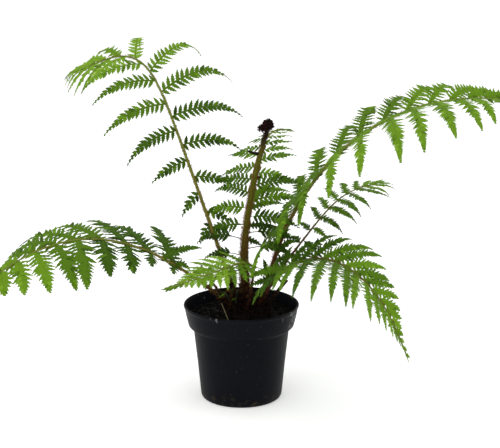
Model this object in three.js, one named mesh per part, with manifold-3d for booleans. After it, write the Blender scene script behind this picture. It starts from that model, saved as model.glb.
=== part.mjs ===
// A young tree fern in a round nursery pot.
// Millimetres, Z up. The origin is the centre of the pot's flat underside.
// The pot, the soil, the crown, the coiled young frond and every arching frond are separate solids.

import * as THREE from "three";
import { mergeVertices } from "three/addons/utils/BufferGeometryUtils.js";
import Module from "manifold-3d";

const wasm = await Module();
wasm.setup();

// Clearances
const SEAT_GAP = 0.4;
const JOINT_GAP = 0.3;
const LEAF_GAP = 0.5;

// Pot
const POT_SEGMENTS = 48;
const POT_HEIGHT = 142;
const POT_RIM_RADIUS = 85;
const POT_BAND_RADIUS = 78;
const POT_BAND_BOTTOM = 111;
const POT_NECK_RADIUS = 70.6;
const POT_NECK_HEIGHT = 105;
const POT_BASE_RADIUS = 58.5;
const POT_BASE_ROUND = 2.5;
const POT_WALL = 2.2;
const POT_FLOOR = 3.2;
const DRAIN_HOLES = 8;
const DRAIN_RADIUS = 5.5;
const DRAIN_CIRCLE = 42;

// Soil and crown
const SOIL_HEIGHT = 127;
const SOIL_SINK = 2.5;
const SOIL_FLAT_RADIUS = 48;
const CROWN_X = 8;
const CROWN_Y = -2;
const CROWN_RADIUS = 37;
const CROWN_HEIGHT = 22;
const CROWN_SEGMENTS = 28;
const CROWN_RINGS = 4;
const CROWN_RIBS = 7;
const CROWN_RIB_DEPTH = 0.045;

// Fronds
const RACHIS_STEPS = 60;
const RING_SPACING = 22;
const FEWEST_RINGS = 14;
const FOOT_RINGS = [0, 12, 27];
const TRIM = 0.06;
const RACHIS_SIDES = 6;
const LEAFLET_STEPS = 5;
const LONG_LEAFLET = 62;
const LONG_OUTLINE = [[0, 0.14], [0.09, 0.7], [0.3, 1], [0.55, 0.8], [0.8, 0.42]];
const SHORT_OUTLINE = [[0, 0.16], [0.14, 0.9], [0.55, 0.75]];
const LEAFLET_MIN_LENGTH = 10;
const LEAFLET_SHORTENING = [1, 0.75, 0.5];
const LEAFLET_CROWDING = 0.4;
const LEAFLET_THICKNESS_SHARE = 0.013;
const LEAFLET_MIN_THICKNESS = 0.9;
const LENGTH_WANDER = 0.06;
const SWEEP_WANDER = 4;
const TIP_LEAN = 0.42;
const FOOT_FLARE_LENGTH = 26;

// Each frond is described by the way its stalk grows out of the crown:
//   foot, reach, base   where it leaves the crown: a bearing, a distance and a height
//   heading, turn       the bearing it sets off in, and how far that has turned at its tip
//   rise, fall          its slope at the foot and at the tip, in degrees
//   half, snap          where along its length it is half bent over, and how suddenly
//   length, split       its length, and the share of it where the outer half begins
//   stalk               the stalk's radius at the foot, above the foot and at the tip
// and by its leaflets:
//   bare, pairs, crowd  the bare share of the stalk, the pairs, and how they close up to the tip
//   stagger             how far one side's leaflets are ahead of the other's, in pairs
//   leaflet, slender    the longest leaflet, and the share of its length that half its width is, while
//                       shorter leaflets are broader for their length
//   low, peak, taper    the lowest leaflet's share of that, where the longest is, how they shorten past it
//   sweep, tipSweep     the angle between leaflet and stalk at the bottom and at the tip, where TIP_LEAN
//                       turns the last leaflets further forward
//   skew                how far both sides' leaflets are turned the same way
//   lift                how far both sides are raised into a shallow V
//   droop, tipDroop     how far a leaflet bends down, at the bottom and at the tip
//   roll, twist         how far the blade leans over, and how far that has changed at the tip
//   uneven, tipUneven   how much longer the right side's leaflets are, at the bottom and at the tip
//   wander, seed        how much the leaflets' lengths and angles vary by chance, and the number that
//                       these chances come from
const FRONDS = [
  {
    name: "tall_left_frond", seed: 1, foot: 150, reach: 15, base: 142,
    heading: 138, turn: 33, rise: 63, fall: -23, half: 0.785, snap: 4, length: 515, split: 0.72,
    stalk: [5, 3, 0.7], bare: 0.24, pairs: 14, crowd: 2.1, stagger: 0.5,
    leaflet: 127, low: 0.32, peak: 0.58, taper: 0.5, slender: 0.1, sweep: 128, tipSweep: 60, skew: 1,
    lift: 12, droop: 0.25, tipDroop: 1.2, roll: -30, twist: 5, uneven: 0.05, tipUneven: 0.05, wander: 1,
  },
  {
    name: "back_frond", seed: 2, foot: 88, reach: 15, base: 142,
    heading: 80, turn: -12, rise: 98, fall: -17, half: 0.54, snap: 1.35, length: 394, split: 1,
    stalk: [4.5, 2.6, 0.6], bare: 0.12, pairs: 17, crowd: 1.2, stagger: 0.5,
    leaflet: 80, low: 0.95, peak: 0.3, taper: 0.95, slender: 0.14, sweep: 84, tipSweep: 70, skew: 0,
    lift: -4, droop: 0.7, tipDroop: -0.1, roll: -7, twist: -4, uneven: 0, tipUneven: 0, wander: 3,
  },
  {
    name: "high_right_frond", seed: 3, foot: -2, reach: 22, base: 138,
    heading: 14, turn: -9, rise: 78, fall: -10, half: 0.53, snap: 1.26, length: 562, split: 0.5,
    stalk: [6.8, 3.4, 0.7], bare: 0.18, pairs: 15, crowd: 1.7, stagger: 0,
    leaflet: 140, low: 0.91, peak: 0.61, taper: 0.9, slender: 0.115, sweep: 50, tipSweep: 72, skew: 21,
    lift: 33, droop: 1.3, tipDroop: 0.95, roll: -16, twist: 42, uneven: 0.2, tipUneven: 0.2, wander: 1,
  },
  {
    name: "low_right_frond", seed: 4, foot: -40, reach: 20, base: 140,
    heading: -40, turn: -9, rise: 60, fall: -60, half: 0.48, snap: 1.4, length: 360, split: 0.42,
    stalk: [4.6, 2.4, 0.6], bare: 0.14, pairs: 18, crowd: 1.35, stagger: 0.3,
    leaflet: 116, low: 0.62, peak: 0.37, taper: 1.15, slender: 0.14, sweep: 56, tipSweep: 46, skew: 6,
    lift: 30, droop: 0.8, tipDroop: 0.1, roll: 40, twist: -50, uneven: 0.36, tipUneven: 0.36, wander: 1,
  },
  {
    name: "mid_right_frond", seed: 5, foot: 48, reach: 20, base: 140,
    heading: 42, turn: -16, rise: 39, fall: 7, half: 0.75, snap: 2.9, length: 302, split: 1,
    stalk: [4, 2, 0.6], bare: 0.3, pairs: 12, crowd: 1.6, stagger: 0.2,
    leaflet: 67, low: 0.49, peak: 0.75, taper: 0.56, slender: 0.11, sweep: 79, tipSweep: 75, skew: 17,
    lift: 5, droop: 0.53, tipDroop: 0.23, roll: 12, twist: -12, uneven: 0, tipUneven: 0, wander: 1.5,
  },
  {
    name: "low_left_frond", seed: 6, foot: 188, reach: 20, base: 138,
    heading: 186, turn: 32, rise: 40, fall: -29, half: 0.55, snap: 1.73, length: 432, split: 0.5,
    stalk: [4.6, 2.4, 0.6], bare: 0.24, pairs: 11, crowd: 1.35, stagger: 0,
    leaflet: 104, low: 0.58, peak: 0.45, taper: 1, slender: 0.25, sweep: 74, tipSweep: 70, skew: -18,
    lift: 4, droop: 0.1, tipDroop: 1.8, roll: -18, twist: 0, uneven: 0.62, tipUneven: -0.45, wander: 2,
  },
  {
    name: "pale_front_frond", seed: 7, foot: 268, reach: 26, base: 135,
    heading: 200, turn: 14, rise: 102, fall: -9, half: 0.34, snap: 7.6, length: 218, split: 1,
    stalk: [3, 1.8, 0.5], bare: 0.33, pairs: 15, crowd: 1.3, stagger: 0.3,
    leaflet: 58, low: 0.8, peak: 0.3, taper: 0.75, slender: 0.18, sweep: 80, tipSweep: 48, skew: 0,
    lift: 0, droop: 0.5, tipDroop: 0.1, roll: -14, twist: 0, uneven: 0, tipUneven: 0, wander: 1,
  },
  {
    name: "small_left_frond", seed: 8, foot: 163, reach: 27, base: 134,
    heading: 168, turn: -23, rise: 55, fall: -32, half: 0.68, snap: 6, length: 100, split: 1,
    stalk: [3, 2, 0.5], bare: 0.42, pairs: 6, crowd: 1.2, stagger: 0.3,
    leaflet: 26, low: 0.85, peak: 0.3, taper: 0.7, slender: 0.14, sweep: 75, tipSweep: 50, skew: 0,
    lift: 0, droop: 0.2, tipDroop: 0.2, roll: -20, twist: 0, uneven: 0, tipUneven: 0, wander: 2,
  },
  {
    name: "young_frond", seed: 9, foot: 214, reach: 31, base: 131,
    heading: 190, turn: 30, rise: 98, fall: -70, half: 0.72, snap: 3.5, length: 54, split: 1,
    stalk: [2, 1.2, 0.5], bare: 0.4, pairs: 3, crowd: 1.1, stagger: 0.2,
    leaflet: 14, low: 0.9, peak: 0.3, taper: 0.7, slender: 0.15, sweep: 60, tipSweep: 40, skew: 0,
    lift: 30, droop: 0, tipDroop: 0, roll: 0, twist: 0, uneven: 0, tipUneven: 0, wander: 1,
  },
];

// The brown coiled frond in the middle, still rolled up at its top
const CROZIER = {
  name: "crozier", foot: -85, reach: 7, base: 143,
  heading: 0, turn: 0, rise: 98, fall: 75, half: 0.34, snap: 1.33, length: 263, split: 1,
  stalk: [9.5, 6, 2.6], roll: 0, twist: 0,
};
const COIL_REACH = 6;
const COIL_START = -100;
const COIL_TURNS = 1.2;
const COIL_BALLS = 9;
const COIL_BALL_RADIUS = 4.6;
const COIL_LOBE = [-9.2, 0, -4.6];
const COIL_LOBE_RADIUS = 4.4;

// The stump of an old stalk, broken off level with the rim
const OLD_STALK = {
  name: "old_stalk", foot: 22, reach: 31, base: 134,
  heading: 20, turn: 0, rise: 52, fall: 44, half: 0.5, snap: 1, length: 50, split: 1,
  stalk: [3.6, 2.6, 2.2], roll: 0, twist: 0,
};

const POT_BLACK = new THREE.MeshStandardMaterial({ color: 0x16181c, roughness: 0.5, metalness: 0 });
const SOIL_BROWN = new THREE.MeshStandardMaterial({ color: 0x1d1611, roughness: 1, metalness: 0 });
const CROWN_BROWN = new THREE.MeshStandardMaterial({ color: 0x3b2416, roughness: 0.95, metalness: 0 });
const STALK_BROWN = new THREE.MeshStandardMaterial({ color: 0x6b4a22, roughness: 0.85, metalness: 0 });
const LEAF_GREEN = new THREE.MeshStandardMaterial({ color: 0x4f8a24, roughness: 0.6, metalness: 0 });
const PALE_GREEN = new THREE.MeshStandardMaterial({ color: 0x93b746, roughness: 0.6, metalness: 0 });

const radians = THREE.MathUtils.degToRad;
const DOWN = new THREE.Vector3(0, 0, -1);

// A repeatable chance from 0 to 1, for the nth choice made on one frond
function chance(seed, n) {
  const wave = Math.sin(seed * 78.233 + n * 12.9898) * 43758.5453;
  return wave - Math.floor(wave);
}

function smooth(x) {
  const t = Math.min(1, Math.max(0, x));
  return t * t * (3 - 2 * t);
}

// Solids

function solidOf(geometry) {
  const bare = geometry.clone();
  bare.deleteAttribute("normal");
  bare.deleteAttribute("uv");
  const welded = mergeVertices(bare, 1e-4);
  const corners = welded.index.array;
  const kept = [];
  for (let i = 0; i < corners.length; i += 3) {
    const [a, b, c] = [corners[i], corners[i + 1], corners[i + 2]];
    if (a !== b && b !== c && c !== a) kept.push(a, b, c);
  }
  return new wasm.Manifold(new wasm.Mesh({
    numProp: 3,
    vertProperties: Float32Array.from(welded.attributes.position.array),
    triVerts: Uint32Array.from(kept),
  }));
}

function geometryOf(solid) {
  const mesh = solid.getMesh();
  const geometry = new THREE.BufferGeometry();
  geometry.setAttribute("position", new THREE.BufferAttribute(Float32Array.from(mesh.vertProperties), 3));
  geometry.setIndex(new THREE.BufferAttribute(Uint32Array.from(mesh.triVerts), 1));
  geometry.computeVertexNormals();
  return geometry;
}

// What is left of a cut piece once its loose scraps are dropped
function largestBody(solid) {
  return solid.decompose().reduce((best, body) => (body.volume() > best.volume() ? body : best));
}

// Skins a run of rings, each of the same number of points and clockwise as the run leaves them.
// A last ring of one point is a tip.
function loft(rings) {
  const points = [];
  const starts = rings.map((ring) => {
    points.push(...ring);
    return points.length - ring.length;
  });
  const faces = [];
  const fan = (start, count) => {
    for (let i = 1; i < count - 1; i++) faces.push(start, start + i, start + i + 1);
  };
  fan(starts[0], rings[0].length);
  for (let k = 0; k < rings.length - 1; k++) {
    const count = rings[k].length;
    for (let i = 0; i < count; i++) {
      const j = (i + 1) % count;
      if (rings[k + 1].length === 1) {
        faces.push(starts[k] + j, starts[k] + i, starts[k + 1]);
      } else {
        faces.push(starts[k] + j, starts[k] + i, starts[k + 1] + j);
        faces.push(starts[k + 1] + j, starts[k] + i, starts[k + 1] + i);
      }
    }
  }
  const last = rings[rings.length - 1];
  const lastStart = starts[starts.length - 1];
  for (let i = 1; i < last.length - 1; i++) faces.push(lastStart, lastStart + i + 1, lastStart + i);
  const geometry = new THREE.BufferGeometry().setFromPoints(points);
  geometry.setIndex(faces);
  return solidOf(geometry);
}

function latheAboutZ(profile, segments) {
  const geometry = new THREE.LatheGeometry(profile, segments);
  geometry.rotateX(Math.PI / 2);
  return geometry;
}

// Frond stalks

function bentShare(frond, share) {
  const gone = share ** frond.snap;
  const left = ((1 - share) * frond.half / (1 - frond.half)) ** frond.snap;
  return gone / (gone + left);
}

function stalkDirection(frond, share) {
  const bent = bentShare(frond, share);
  const slope = radians(frond.rise + (frond.fall - frond.rise) * bent);
  const bearing = radians(frond.heading + frond.turn * bent);
  const level = Math.cos(slope);
  return new THREE.Vector3(Math.cos(bearing) * level, Math.sin(bearing) * level, Math.sin(slope));
}

function stalkPoints(frond) {
  const bearing = radians(frond.foot);
  const start = new THREE.Vector3(
    CROWN_X + frond.reach * Math.cos(bearing), CROWN_Y + frond.reach * Math.sin(bearing), frond.base);
  const points = [start];
  for (let i = 0; i < RACHIS_STEPS; i++) {
    const step = stalkDirection(frond, (i + 0.5) / RACHIS_STEPS).multiplyScalar(frond.length / RACHIS_STEPS);
    points.push(points[i].clone().add(step));
  }
  return points;
}

// The stalk's centre at a share of its length, with the directions along it, across the blade and above it
function stalkFrame(frond, points, share) {
  const place = Math.min(share, 0.9999) * RACHIS_STEPS;
  const step = Math.floor(place);
  const centre = points[step].clone().lerp(points[step + 1], place - step);
  const inside = Math.min(0.9999, Math.max(0.0001, share));
  const along = stalkDirection(frond, inside);
  const bearing = radians(frond.heading + frond.turn * bentShare(frond, inside));
  const level = new THREE.Vector3(Math.sin(bearing), -Math.cos(bearing), 0);
  const upright = level.clone().cross(along);
  const roll = radians(frond.roll + frond.twist * share);
  const across = level.multiplyScalar(Math.cos(roll)).addScaledVector(upright, -Math.sin(roll));
  const above = across.clone().cross(along);
  return { centre, along, across, above };
}

function stalkRadius(frond, share) {
  const [foot, lower, tip] = frond.stalk;
  const flare = (foot - lower) * Math.exp(-share * frond.length / FOOT_FLARE_LENGTH);
  return tip + (lower - tip) * Math.max(0, 1 - share) ** 0.8 + flare;
}

// The shares of a stalk's length where its tube has a ring, closer together at its foot
function ringShares(frond, from, to) {
  const span = to - from;
  const even = Math.max(Math.ceil(FEWEST_RINGS * span), Math.round(frond.length * span / RING_SPACING));
  const foot = from > 0 ? [from] : FOOT_RINGS.map((distance) => distance / frond.length);
  const past = foot[foot.length - 1];
  return [...foot, ...Array.from({ length: even }, (_, i) => past + (to - past) * (i + 1) / even)];
}

// Rings round the stalk at the given shares of its length, wider by extra
function stalkRings(frond, points, shares, extra = 0) {
  return shares.map((share) => {
    const { centre, across, above } = stalkFrame(frond, points, share);
    const radius = stalkRadius(frond, share) + extra;
    return Array.from({ length: RACHIS_SIDES }, (_, k) => {
      const angle = 2 * Math.PI * k / RACHIS_SIDES;
      return centre.clone().addScaledVector(across, radius * Math.cos(angle))
        .addScaledVector(above, radius * Math.sin(angle));
    });
  });
}

function stalkTube(frond, points, from, to) {
  return loft(stalkRings(frond, points, ringShares(frond, from, to)));
}

// The hole in the crown that a stalk's foot stands in
function socket(frond) {
  const points = stalkPoints(frond);
  const rings = stalkRings(frond, points, ringShares(frond, 0, 1).slice(0, FOOT_RINGS.length + 1), SEAT_GAP);
  const { along } = stalkFrame(frond, points, 0);
  const bottom = rings[0].map((point) => point.clone().addScaledVector(along, -SEAT_GAP));
  return loft([bottom, ...rings]);
}

// Leaflets

// How far along the leafy part of its stalk a leaflet grows; side 0 is half-way between a pair's two
function leafletFraction(frond, pair, side) {
  const count = Math.max(0, pair + 0.1 + side * frond.stagger / 2);
  return 1 - (1 - count / frond.pairs) ** frond.crowd;
}

function leafletLength(frond, fraction) {
  const growth = frond.low + (1 - frond.low) * smooth(fraction / frond.peak);
  const past = Math.max(0, fraction - frond.peak) / (1 - frond.peak);
  return Math.max(LEAFLET_MIN_LENGTH, frond.leaflet * growth * (1 - past) ** frond.taper);
}

// The line that a leaflet's midrib follows, with its length, half its width and the direction across it
function leafletSpine(frond, points, pair, side, kept) {
  const fraction = leafletFraction(frond, pair, side);
  const share = frond.bare + (1 - frond.bare) * fraction;
  const { centre, along, across, above } = stalkFrame(frond, points, share);
  const lot = pair * 2 + (side > 0 ? 1 : 0);
  const longer = 1 + frond.wander * LENGTH_WANDER * (2 * chance(frond.seed, lot) - 1);
  const uneven = frond.uneven + (frond.tipUneven - frond.uneven) * fraction;
  const length = kept * leafletLength(frond, fraction) * longer * (1 + side * uneven);
  const turned = frond.wander * SWEEP_WANDER * (2 * chance(frond.seed, lot + 200) - 1);
  const opened = frond.tipSweep + (frond.sweep - frond.tipSweep) * (1 - fraction) ** 2;
  const leaned = 1 - TIP_LEAN * smooth((fraction - 0.6) / 0.4);
  const sweep = radians((opened + side * frond.skew) * leaned + turned);
  const lift = radians(frond.lift);
  const droop = frond.droop + (frond.tipDroop - frond.droop) * fraction;
  const outward = across.clone().multiplyScalar(side * Math.cos(lift)).addScaledVector(above, Math.sin(lift));
  const start = along.clone().multiplyScalar(Math.cos(sweep)).addScaledVector(outward, Math.sin(sweep));
  const edge = along.clone().multiplyScalar(Math.sin(sweep)).addScaledVector(outward, -Math.cos(sweep))
    .multiplyScalar(side);
  const spine = [{ point: centre, way: start.clone() }];
  for (let k = 0; k < LEAFLET_STEPS; k++) {
    const gone = (k + 0.5) / LEAFLET_STEPS;
    const way = start.clone().addScaledVector(DOWN, droop * gone).normalize();
    const point = spine[k].point.clone().addScaledVector(way, length / LEAFLET_STEPS);
    spine.push({ point, way });
  }
  const nextFraction = pair + 1 < frond.pairs ? leafletFraction(frond, pair + 1, side) : 1;
  const room = (nextFraction - fraction) * (1 - frond.bare) * frond.length;
  const fullWidth = (0.5 * length + 0.5 * frond.leaflet) * frond.slender;
  const halfWidth = Math.min(fullWidth, 0.4 * length, Math.max(room, 4) * LEAFLET_CROWDING);
  return { spine, length, halfWidth, edge };
}

function spineAt(spine, share) {
  const place = Math.min(share, 0.9999) * LEAFLET_STEPS;
  const step = Math.floor(place);
  const point = spine[step].point.clone().lerp(spine[step + 1].point, place - step);
  return { point, way: spine[step + 1].way };
}

// A thin lance-shaped blade, flat below and ridged along its midrib above
function leafletSolid({ spine, length, halfWidth, edge }) {
  const thickness = Math.max(LEAFLET_MIN_THICKNESS, length * LEAFLET_THICKNESS_SHARE);
  const outline = length > LONG_LEAFLET ? LONG_OUTLINE : SHORT_OUTLINE;
  const rings = outline.map(([station, width]) => {
    const { point, way } = spineAt(spine, station);
    const up = way.clone().cross(edge).normalize();
    const sideways = way.clone().cross(up);
    const reach = halfWidth * width;
    return [
      point.clone().addScaledVector(sideways, -reach),
      point.clone().addScaledVector(sideways, reach),
      point.clone().addScaledVector(up, thickness),
    ];
  });
  rings.push([spine[LEAFLET_STEPS].point]);
  return loft(rings);
}

// A leaflet as long as its neighbours leave room for, or none where they leave too little
function roomyLeaflet(frond, points, pair, side, neighbours) {
  for (const kept of LEAFLET_SHORTENING) {
    const solid = leafletSolid(leafletSpine(frond, points, pair, side, kept));
    if (neighbours.every((other) => other.minGap(solid, 2 * LEAF_GAP) >= LEAF_GAP)) return solid;
  }
  return null;
}

// One half of a frond: its stalk between two shares, with the leaflets that stay clear of what is there
function frondHalf(frond, points, from, to, neighbours) {
  const halfGap = JOINT_GAP / 2 / frond.length;
  const start = from > 0 ? from + halfGap : 0;
  const end = to < 1 ? to - halfGap : 1;
  const pieces = [stalkTube(frond, points, start, end)];
  for (let pair = 0; pair < frond.pairs; pair++) {
    const share = frond.bare + (1 - frond.bare) * leafletFraction(frond, pair, 0);
    if (share < from || share >= to) continue;
    for (const side of [1, -1]) {
      const solid = roomyLeaflet(frond, points, pair, side, neighbours);
      if (solid) pieces.push(solid);
    }
  }
  return wasm.Manifold.union(pieces).simplify(TRIM);
}

// A split falls half-way between two pairs of leaflets
function splitShare(frond) {
  if (frond.split >= 1) return 1;
  const shares = Array.from({ length: frond.pairs },
    (_, pair) => frond.bare + (1 - frond.bare) * leafletFraction(frond, pair, 0));
  const next = shares.findIndex((share) => share > frond.split);
  return (shares[next - 1] + shares[next]) / 2;
}

// The coiled top of the crozier: beads along a spiral that runs from the stalk's end to its middle,
// and a smaller lobe at its left
function coil(frond, points) {
  const { centre, along } = stalkFrame(frond, points, 1);
  const aside = new THREE.Vector3(along.z, 0, -along.x).normalize();
  const middle = centre.clone()
    .addScaledVector(aside, -COIL_REACH * Math.cos(radians(COIL_START)))
    .addScaledVector(along, -COIL_REACH * Math.sin(radians(COIL_START)));
  const beads = [];
  const addBead = (place, size) => {
    const bead = new THREE.IcosahedronGeometry(size, 0);
    bead.translate(place.x, place.y, place.z);
    beads.push(solidOf(bead));
  };
  for (let i = 0; i < COIL_BALLS; i++) {
    const gone = 1 - (1 - i / (COIL_BALLS - 1)) ** 0.43;
    const angle = radians(COIL_START) - 2 * Math.PI * COIL_TURNS * gone;
    const radius = COIL_REACH * (1 - gone) ** 1.3;
    const place = middle.clone().addScaledVector(aside, radius * Math.cos(angle))
      .addScaledVector(along, radius * Math.sin(angle));
    addBead(place, COIL_BALL_RADIUS * (0.85 + 0.5 * gone));
  }
  const lobe = new THREE.Vector3(...COIL_LOBE);
  addBead(middle.clone().add(lobe), COIL_LOBE_RADIUS);
  addBead(middle.clone().addScaledVector(lobe, 0.55), COIL_LOBE_RADIUS * 0.7);
  return wasm.Manifold.union(beads).simplify(TRIM);
}

// The pot

function potWallInside(outer) {
  return outer.map(([radius, height]) => [radius - POT_WALL, height]);
}

function potOuterWall() {
  return [
    [POT_BASE_RADIUS + POT_BASE_ROUND * 0.7, POT_BASE_ROUND * 1.4],
    [POT_NECK_RADIUS, POT_NECK_HEIGHT],
    [POT_NECK_RADIUS + 1, POT_NECK_HEIGHT + 1.4],
    [POT_BAND_RADIUS - 0.6, POT_BAND_BOTTOM - 0.8],
    [POT_BAND_RADIUS, POT_BAND_BOTTOM + 1],
    [POT_RIM_RADIUS - 0.7, POT_HEIGHT - 2.2],
    [POT_RIM_RADIUS, POT_HEIGHT - 0.9],
  ];
}

function pot() {
  const outer = potOuterWall();
  const inner = potWallInside(outer).slice(1, -1);
  const profile = [
    [0, 0],
    [POT_BASE_RADIUS - POT_BASE_ROUND, 0],
    [POT_BASE_RADIUS, POT_BASE_ROUND * 0.45],
    ...outer,
    [POT_RIM_RADIUS - 0.8, POT_HEIGHT],
    [POT_RIM_RADIUS - POT_WALL, POT_HEIGHT],
    ...inner.reverse(),
    [POT_BASE_RADIUS - POT_WALL + 1.4, POT_FLOOR + 1.5],
    [POT_BASE_RADIUS - POT_WALL, POT_FLOOR],
    [0, POT_FLOOR],
  ].map(([radius, height]) => new THREE.Vector2(radius, height));
  let body = solidOf(latheAboutZ(profile, POT_SEGMENTS));
  for (let i = 0; i < DRAIN_HOLES; i++) {
    const angle = 2 * Math.PI * (i + 0.5) / DRAIN_HOLES;
    const hole = new THREE.CylinderGeometry(DRAIN_RADIUS, DRAIN_RADIUS, 4 * POT_FLOOR, 12);
    hole.rotateX(Math.PI / 2);
    hole.translate(DRAIN_CIRCLE * Math.cos(angle), DRAIN_CIRCLE * Math.sin(angle), 0);
    body = body.subtract(solidOf(hole));
  }
  return body;
}

function soil() {
  const wall = potWallInside(potOuterWall()).slice(1, -1);
  const reached = wall.filter(([, height]) => height < SOIL_HEIGHT - SOIL_SINK);
  const [lowRadius, lowHeight] = reached[reached.length - 1];
  const [highRadius, highHeight] = wall[reached.length];
  const edgeShare = (SOIL_HEIGHT - SOIL_SINK - lowHeight) / (highHeight - lowHeight);
  const edgeRadius = lowRadius + (highRadius - lowRadius) * edgeShare - SEAT_GAP;
  const profile = [
    [0, POT_FLOOR + SEAT_GAP],
    [POT_BASE_RADIUS - POT_WALL - SEAT_GAP, POT_FLOOR + SEAT_GAP],
    [POT_BASE_RADIUS - POT_WALL + 1.4 - SEAT_GAP, POT_FLOOR + 1.5 + SEAT_GAP],
    ...reached.map(([radius, height]) => [radius - SEAT_GAP, height + SEAT_GAP]),
    [edgeRadius, SOIL_HEIGHT - SOIL_SINK],
    [(edgeRadius + SOIL_FLAT_RADIUS) / 2, SOIL_HEIGHT - SOIL_SINK / 2],
    [SOIL_FLAT_RADIUS, SOIL_HEIGHT],
    [0, SOIL_HEIGHT],
  ].map(([radius, height]) => new THREE.Vector2(radius, height));
  return solidOf(latheAboutZ(profile, POT_SEGMENTS));
}

// A low ribbed dome with a flat cut below, and a hole for the foot of every stalk
function crown(stalks) {
  const profile = [new THREE.Vector2(0, 0)];
  for (let i = 0; i <= CROWN_RINGS; i++) {
    const angle = i / CROWN_RINGS * Math.PI / 2;
    profile.push(new THREE.Vector2(CROWN_RADIUS * Math.cos(angle), CROWN_HEIGHT * Math.sin(angle)));
  }
  profile[profile.length - 1].x = 0;
  const geometry = latheAboutZ(profile, CROWN_SEGMENTS);
  const position = geometry.attributes.position;
  for (let i = 0; i < position.count; i++) {
    const [x, y] = [position.getX(i), position.getY(i)];
    const rib = 1 + CROWN_RIB_DEPTH * Math.cos(CROWN_RIBS * Math.atan2(y, x));
    position.setXY(i, x * rib, y * rib);
  }
  geometry.translate(CROWN_X, CROWN_Y, SOIL_HEIGHT + JOINT_GAP);
  let dome = solidOf(geometry);
  for (const stalk of stalks) dome = dome.subtract(socket(stalk));
  return largestBody(dome);
}

// Assembly

const fern = new THREE.Group();

function place(name, solid, material) {
  const mesh = new THREE.Mesh(geometryOf(solid), material);
  mesh.name = name;
  fern.add(mesh);
}

place("pot", pot(), POT_BLACK);
place("soil", soil(), SOIL_BROWN);
place("crown", crown([...FRONDS, CROZIER, OLD_STALK]), CROWN_BROWN);

const grown = [];
const crozierPoints = stalkPoints(CROZIER);
const crozier = wasm.Manifold.union([
  stalkTube(CROZIER, crozierPoints, 0, 1), coil(CROZIER, crozierPoints)]);
grown.push(crozier);
place(CROZIER.name, crozier, STALK_BROWN);

const oldStalk = stalkTube(OLD_STALK, stalkPoints(OLD_STALK), 0, 1);
grown.push(oldStalk);
place(OLD_STALK.name, oldStalk, STALK_BROWN);

const stalkTubes = new Map();
for (const frond of FRONDS) {
  stalkTubes.set(frond.name, stalkTube(frond, stalkPoints(frond), 0, 1));
}

for (const frond of FRONDS) {
  const points = stalkPoints(frond);
  const otherStalks = [...stalkTubes].filter(([name]) => name !== frond.name).map(([, tube]) => tube);
  const split = splitShare(frond);
  const material = frond.name === "pale_front_frond" ? PALE_GREEN : LEAF_GREEN;
  const inner = frondHalf(frond, points, 0, split, [...grown, ...otherStalks]);
  grown.push(inner);
  if (split === 1) {
    place(frond.name, inner, material);
    continue;
  }
  place(`${frond.name}_inner`, inner, material);
  const outer = frondHalf(frond, points, split, 1, [...grown, ...otherStalks]);
  grown.push(outer);
  place(`${frond.name}_outer`, outer, material);
}

export default fern;
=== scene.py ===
"""A young tree fern in a nursery pot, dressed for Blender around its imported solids.

Sizes are millimetres and angles degrees, as in the part's source. Only the lights and the materials
have theirs in metres, like the meshes. Z is up and +Y points away from the photograph's viewer.
"""

import functools
import math
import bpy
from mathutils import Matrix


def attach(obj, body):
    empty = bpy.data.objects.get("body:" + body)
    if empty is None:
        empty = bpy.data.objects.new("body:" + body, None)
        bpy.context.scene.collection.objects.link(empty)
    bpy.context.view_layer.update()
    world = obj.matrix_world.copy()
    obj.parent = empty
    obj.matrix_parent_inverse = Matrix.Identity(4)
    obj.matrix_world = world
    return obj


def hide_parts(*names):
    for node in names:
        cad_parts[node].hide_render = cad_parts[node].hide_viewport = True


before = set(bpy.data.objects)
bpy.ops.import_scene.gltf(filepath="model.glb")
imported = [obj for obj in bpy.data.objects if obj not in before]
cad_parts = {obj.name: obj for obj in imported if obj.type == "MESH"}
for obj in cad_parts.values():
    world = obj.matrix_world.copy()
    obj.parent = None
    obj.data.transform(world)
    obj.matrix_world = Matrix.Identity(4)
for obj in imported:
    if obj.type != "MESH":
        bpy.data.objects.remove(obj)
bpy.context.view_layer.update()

import types

import bpy
import numpy as np
from mathutils import Vector, noise

MM = 0.001
UP = np.array([0.0, 0.0, 1.0])
AWAY = np.array([0.0, 1.0, 0.0])
LEFT = np.array([-1.0, 0.0, 0.0])

# Camera and room, where each light has a place, a size and a power in watts
VIEW_TARGET = (12.8, 0, 261.6)
VIEW_DISTANCE = 1800
VIEW_ELEVATION = 13.45
VIEW_LENS = 89.28
VIEW_SENSOR_WIDTH = 36
FLOOR_RADIUS = 40000
ROOM_BRIGHTNESS = 0.8
LIGHT_TARGET = (0, 0, 0.25)
LIGHTS = (
    ("overhead_light", (-0.3, -0.4, 3.2), 2.6, 30),
    ("front_light", (-1.6, -3.0, 1.8), 2.2, 16),
    ("back_light", (1.4, 2.6, 2.2), 2.2, 10),
)

# Pot
POT_SEGMENTS = 128
POT_HEIGHT = 142
POT_RIM_RADIUS = 85
POT_BAND_MIDDLE_RADIUS = 81.3
POT_BAND_MIDDLE_HEIGHT = 125
POT_BAND_RADIUS = 78
POT_BAND_BOTTOM = 111
POT_NECK_RADIUS = 70.6
POT_NECK_HEIGHT = 105
POT_WAIST_RADIUS = 64.8
POT_WAIST_HEIGHT = 52
POT_BASE_RADIUS = 58.5
POT_WALL = 2.2
POT_FLOOR = 3.2
DRAIN_HOLES = 8
DRAIN_RADIUS = 5.5
DRAIN_CIRCLE = 42

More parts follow.
